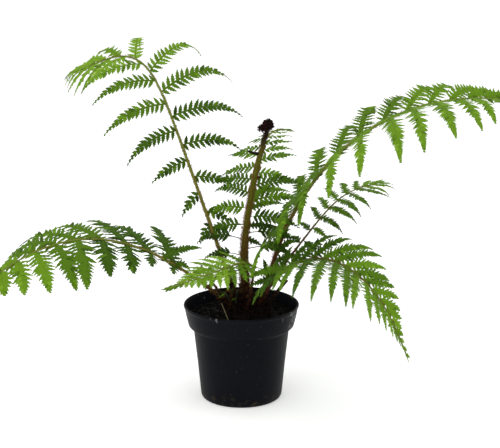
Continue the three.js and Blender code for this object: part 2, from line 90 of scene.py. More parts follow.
# Soil and crown
SOIL_HEIGHT = 127
SOIL_EDGE_HEIGHT = 124.5
SOIL_EDGE_RADIUS = 78.2
SOIL_FLAT_RADIUS = 48
SOIL_RELIEF = 1.7
SOIL_SEGMENTS = 120
SOIL_RINGS = 44
CRUMBS = 1500
CRUMB_SIZES = (0.7, 1.6)
RARE_CRUMB_EXTRA = 2.1
CRUMB_FIBRES = 260
CRUMB_FIBRE_LENGTHS = (3, 9)
CRUMB_FIBRE_RADIUS = 0.25
CROWN = (8, -2)
CROWN_RADIUS = 37
CROWN_HEIGHT = 22
CROWN_RIBS = 7
CROWN_RIB_DEPTH = 0.045
CROWN_SEGMENTS = 112
CROWN_RINGS = 64
CROWN_SCALES = 420
CROWN_SCALE_LENGTHS = (5, 12)
CROWN_SCALE_HALF_WIDTHS = (0.7, 1.5)
CROWN_FIBRES = 900
CROWN_FIBRE_LENGTHS = (4, 11)
CROWN_FIBRE_RADIUS = 0.2
FOOT_SCALES_HEIGHT = 30
FOOT_SCALES_PER_RADIUS = 14
FOOT_SCALE_LENGTHS = (4, 11)
FOOT_SCALE_HALF_WIDTHS = (0.5, 1.2)
SCALE_SINK = 0.93
SKIN_SHARE_OF_CROWN = 0.985

# Fronds. Leaflets that stand close may fill more of the room between them than the solids' do, which is
# what LEAFLET_CROWDING sets.
STALK_STEPS = 60
STALK_SIDES = 14
STALK_RING_SPACING = 2.4
FOOT_FLARE_LENGTH = 26
LEAFLET_STEPS = 12
LEAFLET_MIN_LENGTH = 10
LEAFLET_CROWDING = 0.62
LENGTH_WANDER = 0.06
SWEEP_WANDER = 4
TIP_LEAN = 0.42
FOOTED_SHARE = 0.36
LOBE_THICKNESS = 0.16
LOBE_FOLD = 0.12
LOBE_DROOP = 0.1
LOBE_MIN_LENGTH = 1.2
LOBE_MAX_SLENDER = 0.36
LOBE_REACH = (1.02, 1.18)
LOBE_STAGGER = 0.16
LOBE_CROWD = 1.12
LOBE_JOINED_AT_TIP = 0.8
TAILED_LOBE_LEAN = 64
LANCE_LOBE_LEAN = 78
LOBE_TIP_LEAN = 40
LOBE_LEAN_WANDER = 5
LOBE_RISE_WANDER = 0.16
LOBE_ROLL_WANDER = 0.2
MERGED_FROM = 0.68
MERGED_WITHIN = 0.25
MERGED_WING = 0.75
MIDRIB_SIDES = 4
MIDRIB_MIN_RADIUS = 0.35
MIDRIB_RADIUS_SHARE = 0.0052
MIDRIB_TIP_RADIUS = 0.13
BARE_FOOT_RADII = (0.85, 0.55)
TAIL_RADII = (0.2, 0.4, 0.36, 0.2)
TONE_WANDER = 0.6
LIGHTER_LOBES = 0.24
DARKER_LOBES = 0.2
STALK_GROOVE = 0.16
STALK_BUMPS = 0.07
HAIR_LENGTHS = (1.8, 5.2)
HAIR_RADIUS = 0.22
HAIR_SINK = 0.92
CROZIER_HAIR_GROWTH = 1.25

# A leaflet's half-width along its length, as shares, for those with a long thin tip and for broad ones
TAILED_PROFILE = ([0, 0.05, 0.2, 0.36, 0.55, 0.72, 0.86, 1],
                  [0.7, 0.96, 1, 0.88, 0.64, 0.38, 0.18, 0.06])
LANCE_PROFILE = ([0, 0.05, 0.15, 0.4, 0.7, 0.88, 1], [0.66, 0.92, 1, 0.82, 0.44, 0.19, 0.05])


def frond_of(name, **own):
    """What describes one frond, which has the usual values where it has none of its own."""
    usual = dict(split=1, skew=0, roll=0, twist=0, uneven=0, tip_uneven=0, wander=1, footed=0,
                 lobe_fill=0.5, tail=False, stain="olive")
    return types.SimpleNamespace(**{**usual, "name": name, **own})


# Each frond is described by the way its stalk grows out of the crown:
#   foot, reach, base   where it leaves the crown: a bearing, a distance and a height
#   heading, turn       the bearing it sets off in, and how far that has turned at its tip
#   rise, fall          its slope at the foot and at the tip
#   half, snap          where along its length it is half bent over, and how suddenly
#   length, split       its length, and the share of it where the outer half begins
#   stalk               the stalk's radius at the foot, above the foot and at the tip
# and by its leaflets:
#   bare, pairs, crowd  the bare share of the stalk, the pairs, and how they close up to the tip
#   stagger             how far one side's leaflets are ahead of the other's, in pairs
#   leaflet, slender    the longest leaflet, and the share of its length that half its width is
#   low, peak, taper    the lowest one's share of that, where the longest is, how they shorten past it
#   sweep, skew         the angle between leaflet and stalk, and how far both sides are turned one way
#   lift, droop         how far both sides are raised into a shallow V, and how far a leaflet bends down
#   roll, twist         how far the blade leans over, and how far that has changed at the tip
#   uneven              how much longer the right side's leaflets are
#   tip_                before a name: the value at the tip, where the plain name's is at the bottom
#   wander, seed        how much lengths and angles vary by chance, and where those chances come from
# These are the solids' own values, apart from some for the leaflets of pale_front_frond and the width of
# high_right_frond's, which follow the photograph. The rest is for the picture alone:
#   curl, footed        how far a leaflet's tip bends down, and the bare share of the lowest leaflets
#   lobe_gap, lobe_fill the room for one lobe on a leaflet, and the share of it that half a lobe fills
#   tail, wing          whether leaflets have a long thin tip, and their undivided middle's shares
#   stain, hairs, tones the stalk's colours, its number of hairs, and the leaf greens up to the tip
FRONDS = [
    frond_of("tall_left_frond", seed=1, foot=150, reach=15, base=142,
             heading=138, turn=33, rise=63, fall=-23, half=0.785, snap=4, length=515, split=0.72,
             stalk=(5, 3, 0.7), bare=0.24, pairs=14, crowd=2.1, stagger=0.5,
             leaflet=127, low=0.32, peak=0.58, taper=0.5, slender=0.1, sweep=128, tip_sweep=60, skew=1,
             lift=12, droop=0.25, tip_droop=1.2, roll=-30, twist=5, uneven=0.05, tip_uneven=0.05,
             curl=0.6, lobe_gap=7.6, tail=True, lobe_fill=0.42, wing=(0.12, 0.14, 0.2, 0.6),
             hairs=2600, tones=("deep", "deep", "mid", "fresh", "lime")),
    frond_of("back_frond", seed=2, foot=88, reach=15, base=142,
             heading=80, turn=-12, rise=98, fall=-17, half=0.54, snap=1.35, length=394,
             stalk=(4.5, 2.6, 0.6), bare=0.12, pairs=17, crowd=1.2, stagger=0.5,
             leaflet=80, low=0.95, peak=0.3, taper=0.95, slender=0.14, sweep=84, tip_sweep=70,
             lift=-4, droop=0.7, tip_droop=-0.1, roll=-7, twist=-4, wander=3,
             curl=0.5, footed=0.5, lobe_gap=6.2, tail=True, lobe_fill=0.44, wing=(0.1, 0.14, 0.2, 0.6),
             hairs=700, tones=("shade", "deep", "mid", "mid", "fresh")),
    frond_of("high_right_frond", seed=3, foot=-2, reach=22, base=138,
             heading=14, turn=-9, rise=78, fall=-10, half=0.53, snap=1.26, length=562, split=0.5,
             stalk=(6.8, 3.4, 0.7), bare=0.18, pairs=15, crowd=1.7, stagger=0,
             leaflet=140, low=0.91, peak=0.61, taper=0.9, slender=0.135, sweep=50, tip_sweep=72, skew=21,
             lift=33, droop=1.3, tip_droop=0.95, roll=-16, twist=42, uneven=0.2, tip_uneven=0.2,
             curl=0.35, lobe_gap=5, lobe_fill=0.46, wing=(0.2, 0.26, 0.36, 0.6),
             stain="red", hairs=2400, tones=("mid", "mid", "fresh", "fresh", "fresh")),
    frond_of("low_right_frond", seed=4, foot=-40, reach=20, base=140,
             heading=-40, turn=-9, rise=60, fall=-60, half=0.48, snap=1.4, length=360, split=0.42,
             stalk=(4.6, 2.4, 0.6), bare=0.14, pairs=18, crowd=1.35, stagger=0.3,
             leaflet=116, low=0.62, peak=0.37, taper=1.15, slender=0.14, sweep=56, tip_sweep=46, skew=6,
             lift=30, droop=0.8, tip_droop=0.1, roll=40, twist=-50, uneven=0.36, tip_uneven=0.36,
             curl=0.2, lobe_gap=4.4, lobe_fill=0.48, wing=(0.32, 0.4, 0.48, 0.65),
             stain="red", hairs=700, tones=("deep", "mid", "mid", "fresh", "lime")),
    frond_of("mid_right_frond", seed=5, foot=48, reach=20, base=140,
             heading=42, turn=-16, rise=39, fall=7, half=0.75, snap=2.9, length=302,
             stalk=(4, 2, 0.6), bare=0.3, pairs=12, crowd=1.6, stagger=0.2,
             leaflet=67, low=0.49, peak=0.75, taper=0.56, slender=0.11, sweep=79, tip_sweep=75, skew=17,
             lift=5, droop=0.53, tip_droop=0.23, roll=12, twist=-12, wander=1.5,
             curl=0.4, footed=0.3, lobe_gap=5.0, tail=True, wing=(0.2, 0.35, 0.5, 0.7),
             stain="red", hairs=600, tones=("deep", "deep", "mid", "mid", "fresh")),
    frond_of("low_left_frond", seed=6, foot=188, reach=20, base=138,
             heading=186, turn=32, rise=40, fall=-29, half=0.55, snap=1.73, length=432, split=0.5,
             stalk=(4.6, 2.4, 0.6), bare=0.24, pairs=11, crowd=1.35, stagger=0,
             leaflet=104, low=0.58, peak=0.45, taper=1, slender=0.25, sweep=74, tip_sweep=70, skew=-18,
             lift=4, droop=0.1, tip_droop=1.8, roll=-18, uneven=0.62, tip_uneven=-0.45, wander=2,
             curl=0.4, lobe_gap=5.8, wing=(0.22, 0.28, 0.38, 0.65),
             hairs=1200, tones=("deep", "deep", "mid", "mid", "fresh")),
    frond_of("pale_front_frond", seed=7, foot=268, reach=26, base=135,
             heading=200, turn=14, rise=102, fall=-9, half=0.34, snap=7.6, length=218,
             stalk=(3, 1.8, 0.5), bare=0.33, pairs=15, crowd=1.3, stagger=0.3,
             leaflet=55, low=0.8, peak=0.3, taper=1.2, slender=0.18, sweep=80, tip_sweep=48,
             lift=2, droop=0.2, tip_droop=0.1, roll=-14, uneven=0.12,
             curl=0.2, lobe_gap=3.2, wing=(0.34, 0.42, 0.5, 0.65),
             stain="pale", hairs=500, tones=("mid", "lime", "fresh", "lime", "mid")),
    frond_of("small_left_frond", seed=8, foot=163, reach=27, base=134,
             heading=168, turn=-23, rise=55, fall=-32, half=0.68, snap=6, length=100,
             stalk=(3, 2, 0.5), bare=0.42, pairs=6, crowd=1.2, stagger=0.3,
             leaflet=26, low=0.85, peak=0.3, taper=0.7, slender=0.14, sweep=75, tip_sweep=50,
             lift=0, droop=0.2, tip_droop=0.2, roll=-20, wander=2,
             curl=0.4, footed=0.4, lobe_gap=3.2, wing=(0.2, 0.3, 0.5, 0.7),
             hairs=300, tones=("shade", "shade", "deep", "deep", "deep")),
    frond_of("young_frond", seed=9, foot=214, reach=31, base=131,
             heading=190, turn=30, rise=98, fall=-70, half=0.72, snap=3.5, length=54,
             stalk=(2, 1.2, 0.5), bare=0.4, pairs=3, crowd=1.1, stagger=0.2,
             leaflet=14, low=0.9, peak=0.3, taper=0.7, slender=0.15, sweep=60, tip_sweep=40,
             lift=30, droop=0, tip_droop=0,
             curl=0.3, lobe_gap=2.6, wing=(0.3, 0.4, 0.5, 0.7),
             hairs=160, tones=("shade", "shade", "deep", "deep", "mid")),
]

# Single leaflets that crowd the middle: frond, place on its stalk, tip, arch, half-width and green
LOW_LEAFLETS = (
    ("low_right_frond", 0.24, (3, -36, 188), 5, 9, "mid"),
    ("low_right_frond", 0.17, (12, -30, 176), 3, 8, "deep"),
    ("high_right_frond", 0.175, (26, 0, 221), 4, 7.5, "deep"),
    ("high_right_frond", 0.14, (80, -6, 236), 8, 8, "deep"),
    ("high_right_frond", 0.11, (84, -10, 213), 8, 7, "deep"),
    ("high_right_frond", 0.08, (32, -8, 211), 2, 6, "shade"),
    ("back_frond", 0.29, (66, 16, 246), 5, 6.5, "shade"),
    ("back_frond", 0.24, (32, 6, 226), 2, 6, "shade"),
    ("back_frond", 0.35, (64, 18, 287), 6, 6.5, "deep"),
    ("back_frond", 0.37, (43, 22, 318), 3, 7, "mid"),
    ("back_frond", 0.4, (72, 22, 304), 8, 7, "mid"),
    ("low_left_frond", 0.3, (-56, -14, 229), 6, 8.5, "deep"),
    ("low_left_frond", 0.25, (-74, -22, 198), 6, 7.5, "deep"),
)
LOW_LEAFLET_FACING = (0.15, -1, 0.75)

# The crozier with its coiled top, which has a smaller lobe at its left, and the stump
CROZIER = frond_of("crozier", seed=10, foot=-85, reach=7, base=143, heading=0, turn=0, rise=98,
                   fall=75, half=0.34, snap=1.33, length=263, stalk=(9.5, 6, 2.6), hairs=4600)
OLD_STALK = frond_of("old_stalk", seed=11, foot=22, reach=31, base=134, heading=20, turn=0,
                     rise=52, fall=44, half=0.5, snap=1, length=50, stalk=(3.6, 2.6, 2.2))
COIL_REACH = 6
COIL_START = -100
COIL_TURNS = 1.2
COIL_RINGS = 60
COIL_SIDES = 12
COIL_THICKNESS = 3.2
COIL_NECK = (2.2, 2.6, 3, 3.2, 3, 1.6)
COIL_CURLS = 34
COIL_CURL_REACH = 6.4
COIL_CURL_SIZES = (2.6, 3.8)
COIL_LOBE = (-9.2, 0, -4.6)
COIL_LOBE_CURLS = 14
COIL_LOBE_REACH = 3.4
COIL_LOBE_CURL_SIZES = (1.9, 2.9)
CURL_STEPS = 20
CURL_SIDES = 6
COIL_HAIRS = 22
COIL_HAIR_LENGTHS = (1.4, 3.8)
COIL_HAIR_RADIUS = 0.18
NECK_HAIRS = 260
NECK_HAIR_LENGTHS = (3, 6)
NECK_HAIR_RADIUS = 0.3

# Small things at the crown's front: a straw's two ends, and the foot, top and tip of two young curls
STRAW = np.array([(-17, -46, 126.5), (-28.5, -36, 153)])
CURLS = np.array([[(-13, -14, 140), (-24.5, -24, 169), (-33, -26, 160)],
                  [(-8, -14, 138), (-6, -24, 171), (1, -26, 166)]])

# A stalk's colours, each with its distance in metres from the middle of the crown. All colours are as
# read from a screen, 0 to 255.
STALK_BANDS = {
    "olive": ((0.03, (44, 22, 14)), (0.07, (88, 66, 26)), (0.12, (104, 98, 34)), (0.2, (110, 114, 42)),
              (0.32, (110, 128, 48)), (0.48, (108, 136, 52))),
    "red": ((0.03, (50, 22, 14)), (0.075, (70, 34, 20)), (0.12, (74, 52, 22)), (0.2, (92, 92, 36)),
            (0.32, (110, 128, 48)), (0.48, (108, 136, 52))),
    "pale": ((0.03, (44, 22, 14)), (0.07, (70, 40, 22)), (0.1, (112, 136, 48))),
}
CROZIER_BANDS = ((0.03, (40, 16, 10)), (0.08, (76, 58, 10)), (0.16, (84, 86, 12)), (0.235, (82, 94, 16)),
                 (0.262, (46, 40, 10)), (0.275, (18, 10, 6)))

# Leaf greens, dealt out by leaflet and by lobe. Partly the leaves' own colour and partly painted light:
# the darker greens near the crown and in the plant's middle are painted shade, the lighter ones at the
# frond tips painted light shining through.
LEAF_TONES = {
    "shade": (38, 62, 10),
    "deep": (56, 86, 14),
    "mid": (78, 112, 20),
    "fresh": (98, 136, 26),
    "lime": (114, 152, 38),
    "pale": (142, 170, 66),
}
MIDRIB_TONES = {"midrib_green": (90, 112, 34), "midrib_dark": (44, 56, 16)}
HAIR_TONES = {"rust_hair": (134, 84, 38), "brown_hair": (84, 50, 24), "dark_hair": (34, 18, 10)}


# Shader maths

class Value:
    """An output socket, so that shader maths reads as plain sums."""

    def __init__(self, finish, socket):
        self.finish = finish
        self.socket = socket

    def sum(self, operation, a, b):
        return self.finish.node("ShaderNodeMath", {"operation": operation}, {0: a, 1: b})

    def __add__(self, other):
        return self.sum("ADD", self, other)

    def __sub__(self, other):
        return self.sum("SUBTRACT", self, other)

    def __mul__(self, other):
        return self.sum("MULTIPLY", self, other)

    __radd__ = __add__
    __rmul__ = __mul__


class Finish:
    """A material with one Principled shader and the nodes behind it."""

    def __init__(self, name, **constants):
        self.material = bpy.data.materials.new(name)
        self.material.use_nodes = True
        self.tree = self.material.node_tree
        self.shader = self.tree.nodes["Principled BSDF"]
        for socket, value in constants.items():
            self.shader.inputs[socket.replace("_", " ")].default_value = value

    def node(self, kind, settings, sockets, out=0):
        made = self.tree.nodes.new(kind)
        for setting, value in settings.items():
            if setting == "stops":
                self.set_stops(made.color_ramp, value)
            else:
                setattr(made, setting, value)
        for socket, value in sockets.items():
            self.feed(made.inputs[socket], value)
        return Value(self, made.outputs[out])

    def set_stops(self, ramp, stops):
        while len(ramp.elements) < len(stops):
            ramp.elements.new(0.5)
        for element, (place, colour) in zip(ramp.elements, stops):
            element.position = place
            element.color = screen(*colour)

    def feed(self, socket, value):
        if isinstance(value, Value):
            self.tree.links.new(value.socket, socket)
        else:
            socket.default_value = value

    def coordinates(self):
        return self.node("ShaderNodeTexCoord", {}, {}, "Object")

    def noise(self, scale, detail=4, where=None):
        sockets = {"Vector": where or self.coordinates(), "Scale": scale, "Detail": detail}
        return self.node("ShaderNodeTexNoise", {}, sockets)

    def stretched(self, x, y, z):
        return self.node("ShaderNodeMapping", {}, {"Vector": self.coordinates(), "Scale": (x, y, z)})

    def place(self, axis):
        return self.node("ShaderNodeSeparateXYZ", {}, {0: self.coordinates()}, axis)

    def between(self, value, low, high):
        """0 where value is under low, rising to 1 at high; the other way round if low is the larger."""
        sockets = {"Value": value, "From Min": low, "From Max": high}
        return self.node("ShaderNodeMapRange", {"interpolation_type": "SMOOTHSTEP"}, sockets)

    def mix(self, share, *colours):
        """Two colours mixed, each a socket or red, green and blue as read from a screen."""
        a, b = [colour if isinstance(colour, Value) else screen(*colour) for colour in colours]
        return self.node("ShaderNodeMix", {"data_type": "RGBA"}, {0: share, 6: a, 7: b}, 2)

    def ramp(self, value, stops):
        return self.node("ShaderNodeValToRGB", {"stops": stops}, {0: value})

    def colour(self, value):
        self.feed(self.shader.inputs["Base Color"], value)

    def roughness(self, value):
        self.feed(self.shader.inputs["Roughness"], value)

    def bump(self, height, depth, strength=1):
        sockets = {"Height": height, "Distance": depth, "Strength": strength}
        self.feed(self.shader.inputs["Normal"], self.node("ShaderNodeBump", {}, sockets))


def screen(red, green, blue):
    """A colour as read from a screen, 0 to 255, as the linear values that a shader takes."""
    shares = [value / 255 for value in (red, green, blue)]
    return (*(s / 12.92 if s <= 0.04045 else ((s + 0.055) / 1.055) ** 2.4 for s in shares), 1)


# Materials

def pot_finish():
    """Blue-black plastic, dusty at its foot, with scuffs, specks and painted highlights at the band's
    front edges.
    """
    made = Finish("pot_plastic", Specular_IOR_Level=0.06)
    streaks = made.noise(38, 5, made.stretched(1, 1, 0.18))
    black = made.mix(made.noise(26, 6), (4, 5, 9), (11, 12, 19))
    low_edge = made.between(made.place("Z"), 0.021, 0.001)
    dust = made.between(made.noise(85, 7), 0.48, 0.68) * low_edge
    dusty = made.mix(dust * 0.75, black, (70, 60, 46))
    specks = made.between(made.noise(420, 2), 0.735, 0.76)
    scuffs = made.between(made.noise(190, 3, made.stretched(1, 1, 0.3)), 0.68, 0.75)
    on_band = made.between(made.place("Z"), 0.107, 0.113)
    at_front = made.between(made.place("Y"), -0.01, -0.03) * on_band
    at_right = made.between(made.place("X"), 0.066, 0.073)
    at_left = made.between(made.place("X"), -0.074, -0.08)
    # Painted highlight: light grey marks at the left and right edges of the band's front, where light
    # catches it
    glint_pattern = made.between(made.noise(240, 5, made.stretched(1, 1, 0.5)), 0.51, 0.62)
    painted_highlight = glint_pattern * (at_right + at_left * 0.4) * at_front
    wear_and_highlight = scuffs * on_band * 0.35 + specks * 0.25 + painted_highlight * 0.5
    made.colour(made.mix(wear_and_highlight, dusty, (150, 150, 150)))
    made.roughness(0.4 + 0.16 * streaks + 0.3 * dust)
    made.bump(made.noise(1500, 2) + 4 * streaks, 0.00012, 0.5)
    return made.material


def soil_finish():
    made = Finish("compost", Roughness=0.95, Specular_IOR_Level=0.15)
    stops = [(0.3, (3, 2, 2)), (0.55, (6, 5, 4)), (0.75, (14, 10, 8))]
    made.colour(made.ramp(made.noise(160, 8), stops))
    made.bump(made.noise(700, 6), 0.0008)
    return made.material


def crumb_finish(name, dark, light):
    made = Finish(name, Roughness=0.95, Specular_IOR_Level=0.12)
    made.colour(made.mix(made.noise(420, 3), dark, light))
    made.bump(made.noise(2200, 3), 0.0003)
    return made.material


def crown_finish():
    made = Finish("crown_scales", Roughness=0.9, Specular_IOR_Level=0.15)
    fibres = made.noise(260, 6, made.stretched(1, 1, 0.35))
    made.colour(made.ramp(fibres, [(0.3, (6, 4, 3)), (0.5, (16, 9, 6)), (0.72, (36, 18, 11))]))
    made.bump(made.noise(900, 6, made.stretched(1, 1, 0.3)), 0.0009)
    return made.material


def stalk_finish(name, bands):
    """Colours that follow one another with distance from the crown, under brown flecks."""
    made = Finish(name, Roughness=0.65, Specular_IOR_Level=0.1)
    middle = (CROWN[0] * MM, CROWN[1] * MM, SOIL_HEIGHT * MM)
    sockets = {0: made.coordinates(), 1: middle}
    away = made.node("ShaderNodeVectorMath", {"operation": "DISTANCE"}, sockets, 1)
    flecks = made.noise(520, 5, made.stretched(1, 1, 0.4))
    wavering = away * 2 + 0.04 * (flecks - 0.5)
    skin = made.ramp(wavering, [(2 * distance, colour) for distance, colour in bands])
    brown = made.between(flecks, 0.55, 0.7) * made.between(away, 0.3, 0.02)
    made.colour(made.mix(brown * 0.5, skin, (84, 46, 20)))
    made.bump(made.noise(1400, 4, made.stretched(1, 1, 0.25)), 0.0004)
    return made.material


def dark_finish(name, dark, light):
    made = Finish(name, Roughness=0.75, Specular_IOR_Level=0.1)
    made.colour(made.mix(made.between(made.noise(330, 5), 0.35, 0.7), dark, light))
    made.bump(made.noise(1500, 4), 0.0005)
    return made.material


def plain_finish(name, colour, roughness, specular):
    """One plain colour, for pieces whose colours are dealt out face by face."""
    made = Finish(name, Base_Color=screen(*colour), Roughness=roughness, Specular_IOR_Level=specular)
    return made.material


def plain_finishes(tones, roughness, specular):
    return [plain_finish(name, colour, roughness, specular) for name, colour in tones.items()]


def floor_finish():
    made = Finish("pale_floor", Base_Color=(0.93, 0.93, 0.93, 1), Roughness=0.9, Specular_IOR_Level=0.1,
                  Emission_Color=(1, 1, 1, 1), Emission_Strength=0.32)
    return made.material


# Modelling with Blender's own tools

def choose(obj):
    bpy.ops.object.select_all(action="DESELECT")
    obj.select_set(True)
    bpy.context.view_layer.objects.active = obj


def edit(obj):
    choose(obj)
    bpy.ops.object.mode_set(mode="EDIT")
    bpy.ops.mesh.select_all(action="SELECT")


def leave_edit():
    """Turns every face outwards on the way out."""
    bpy.ops.mesh.select_all(action="SELECT")
    bpy.ops.mesh.normals_make_consistent(inside=False)
    bpy.ops.object.mode_set(mode="OBJECT")
    bpy.ops.object.select_all(action="DESELECT")


def apply_modifiers(obj):
    choose(obj)
    for modifier in list(obj.modifiers):
        bpy.ops.object.modifier_apply(modifier=modifier.name)


def settle(obj):
    """Moves a piece's place into its mesh, so that its object sits at the origin."""
    choose(obj)
    bpy.ops.object.transform_apply(location=True, rotation=True, scale=True)


def shade(obj, degrees):
    choose(obj)
    bpy.ops.object.shade_smooth_by_angle(angle=math.radians(degrees))
    bpy.ops.object.select_all(action="DESELECT")


def drawn_round(name, profile, segments):
    """A round closed body: a disc drawn out ring by ring through a profile's radii and heights."""
    radius, height = profile[0]
    bpy.ops.mesh.primitive_circle_add(
        vertices=segments, radius=radius * MM, fill_type="NGON", location=(0, 0, height * MM))
    obj = bpy.context.object
    obj.name = name
    settle(obj)
    edit(obj)
    for next_radius, next_height in profile[1:]:
        step = (0, 0, (next_height - height) * MM)
        bpy.ops.mesh.extrude_region_move(TRANSFORM_OT_translate={"value": step})
        share = next_radius / radius
        bpy.ops.transform.resize(value=(share, share, 1), center_override=(0, 0, 0))
        radius, height = next_radius, next_height
    leave_edit()
    return obj


def finish_piece(obj, slot, materials, *nodes):
    for material in materials:
        obj.data.materials.append(material)
    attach(obj, "root")
    if nodes:
        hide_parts(*nodes)


# Sums that repeat

def mixed(a, b, share):
    return a + (b - a) * share


def turned(a, b, angle):
    """The direction that lies at an angle from a towards b."""
    return a * math.cos(angle) + b * math.sin(angle)


def stray(most, rng):
    return rng.uniform(-most, most)


def on_circle(radius, angle):
    return radius * math.cos(angle), radius * math.sin(angle)


def unit(vector):
    return vector / math.sqrt(float(vector @ vector))


def cross(a, b):
    return np.array([a[1] * b[2] - a[2] * b[1], a[2] * b[0] - a[0] * b[2], a[0] * b[1] - a[1] * b[0]])


# Many small shapes gathered into one mesh

class Bundle:
    def __init__(self):
        self.points = []
        self.faces = []
        self.tones = []
        self.count = 0

    def add(self, points, faces, tone=0):
        self.points.append(points)
        self.faces.append(faces + self.count)
        self.tones.append(np.full(len(faces), tone))
        self.count += len(points)

    def piece(self, name, smooth=False):
        points = np.concatenate(self.points) * MM
        faces = np.concatenate(self.faces)
        mesh = bpy.data.meshes.new(name)
        mesh.vertices.add(len(points))
        mesh.vertices.foreach_set("co", points.astype(np.float32).ravel())
        mesh.loops.add(3 * len(faces))
        mesh.loops.foreach_set("vertex_index", faces.astype(np.int32).ravel())
        mesh.polygons.add(len(faces))
        mesh.polygons.foreach_set("loop_start", np.arange(0, 3 * len(faces), 3, dtype=np.int32))
        mesh.polygons.foreach_set("material_index", np.concatenate(self.tones).astype(np.int32))
        mesh.polygons.foreach_set("use_smooth", np.full(len(faces), smooth))
        mesh.update(calc_edges=True)
        obj = bpy.data.objects.new(name, mesh)
        bpy.context.scene.collection.objects.link(obj)
        return obj


@functools.lru_cache(maxsize=None)
def ring_faces(rings, sides):
    """Faces that skin rings of points and close both ends."""
    faces = []
    for k in range(rings - 1):
        low, high = k * sides, (k + 1) * sides
        for i in range(sides):
            j = (i + 1) % sides
            faces.append((low + i, high + i, high + j))
            faces.append((low + i, high + j, low + j))
    last = (rings - 1) * sides
    for i in range(1, sides - 1):
        faces.append((0, i, i + 1))
        faces.append((last, last + i + 1, last + i))
    return np.array(faces)


def tube_points(line, radii, sides, up):
    """Rings of points round a line, the first point of each ring level with the line."""
    ways = np.gradient(line, axis=0)
    ways /= np.linalg.norm(ways, axis=1)[:, None]
    across = np.cross(ways, up)
    across /= np.linalg.norm(across, axis=1)[:, None]
    above = np.cross(across, ways)
    angles = (2 * math.pi * np.arange(sides) / sides)[None, :, None]
    spread = np.cos(angles) * across[:, None] + np.sin(angles) * above[:, None]
    return (line[:, None] + np.asarray(radii)[:, None, None] * spread).reshape(-1, 3)


def add_tube(bundle, line, radii, sides, up, tone=0):
    bundle.add(tube_points(line, radii, sides, up), ring_faces(len(line), sides), tone)


# How a frond grows, as in the part's source

def chance(seed, n):
    wave = math.sin(seed * 78.233 + n * 12.9898) * 43758.5453
    return wave - math.floor(wave)


def smooth(x):
    t = min(1, max(0, x))
    return t * t * (3 - 2 * t)


def bent_share(frond, share):
    gone = share ** frond.snap
    left = ((1 - share) * frond.half / (1 - frond.half)) ** frond.snap
    return gone / (gone + left)


def stalk_direction(frond, share):
    bent = bent_share(frond, share)
    slope = math.radians(mixed(frond.rise, frond.fall, bent))
    bearing = math.radians(frond.heading + frond.turn * bent)
    return np.array([*on_circle(math.cos(slope), bearing), math.sin(slope)])


def stalk_points(frond):
    x, y = on_circle(frond.reach, math.radians(frond.foot))
    points = [np.array([CROWN[0] + x, CROWN[1] + y, frond.base], float)]
    for i in range(STALK_STEPS):
        step = stalk_direction(frond, (i + 0.5) / STALK_STEPS) * frond.length / STALK_STEPS
        points.append(points[-1] + step)
    return points


def stalk_frame(frond, points, share):
    """The stalk's centre, and the directions along it, across the blade and above it."""
    place = min(share, 0.9999) * STALK_STEPS
    step = int(place)
    centre = mixed(points[step], points[step + 1], place - step)
    inside = min(0.9999, max(0.0001, share))
    along = stalk_direction(frond, inside)
    bearing = math.radians(frond.heading + frond.turn * bent_share(frond, inside))
    level = np.array([math.sin(bearing), -math.cos(bearing), 0])
    roll = math.radians(frond.roll + frond.twist * share)
    across = turned(level, cross(along, level), roll)
    return centre, along, across, cross(across, along)


def stalk_radius(frond, share):
    foot, lower, tip = frond.stalk
    flare = (foot - lower) * math.exp(-share * frond.length / FOOT_FLARE_LENGTH)
    return tip + (lower - tip) * max(0, 1 - share) ** 0.8 + flare


def skin_place(frond, points, share, sink, rng):
    """A place sunk a little into the stalk at a random side, and the ways along it and out of it."""
    centre, along, across, above = stalk_frame(frond, points, share)
    out = turned(across, above, rng.uniform(0, 2 * math.pi))
    return centre + out * stalk_radius(frond, share) * sink, along, out


def leaflet_fraction(frond, pair, side):
    """How far up the leafy part a leaflet stands."""
    count = max(0, pair + 0.1 + side * frond.stagger / 2)
    return 1 - (1 - count / frond.pairs) ** frond.crowd


def leaflet_length(frond, fraction, lot, side):
    growth = mixed(frond.low, 1, smooth(fraction / frond.peak))
    past = max(0, fraction - frond.peak) / (1 - frond.peak)
    length = max(LEAFLET_MIN_LENGTH, frond.leaflet * growth * (1 - past) ** frond.taper)
    longer = 1 + frond.wander * LENGTH_WANDER * (2 * chance(frond.seed, lot) - 1)
    return length * longer * (1 + side * mixed(frond.uneven, frond.tip_uneven, fraction))


def leaflet_sweep(frond, fraction, lot, side):
    """The angle between a leaflet and its stalk."""
    opened = mixed(frond.tip_sweep, frond.sweep, (1 - fraction) ** 2)
    leaned = 1 - TIP_LEAN * smooth((fraction - 0.6) / 0.4)
    strayed = frond.wander * SWEEP_WANDER * (2 * chance(frond.seed, lot + 200) - 1)
    return math.radians((opened + side * frond.skew) * leaned + strayed)


def leaflet_half_width(frond, pair, side, fraction, length):
    """Half its full width, or less where that is more than the room before the next leaflet allows."""
    next_fraction = leaflet_fraction(frond, pair + 1, side) if pair + 1 < frond.pairs else 1
    room = (next_fraction - fraction) * (1 - frond.bare) * frond.length
    full_width = (0.5 * length + 0.5 * frond.leaflet) * frond.slender
    return min(full_width, 0.4 * length, max(room, 4) * LEAFLET_CROWDING)


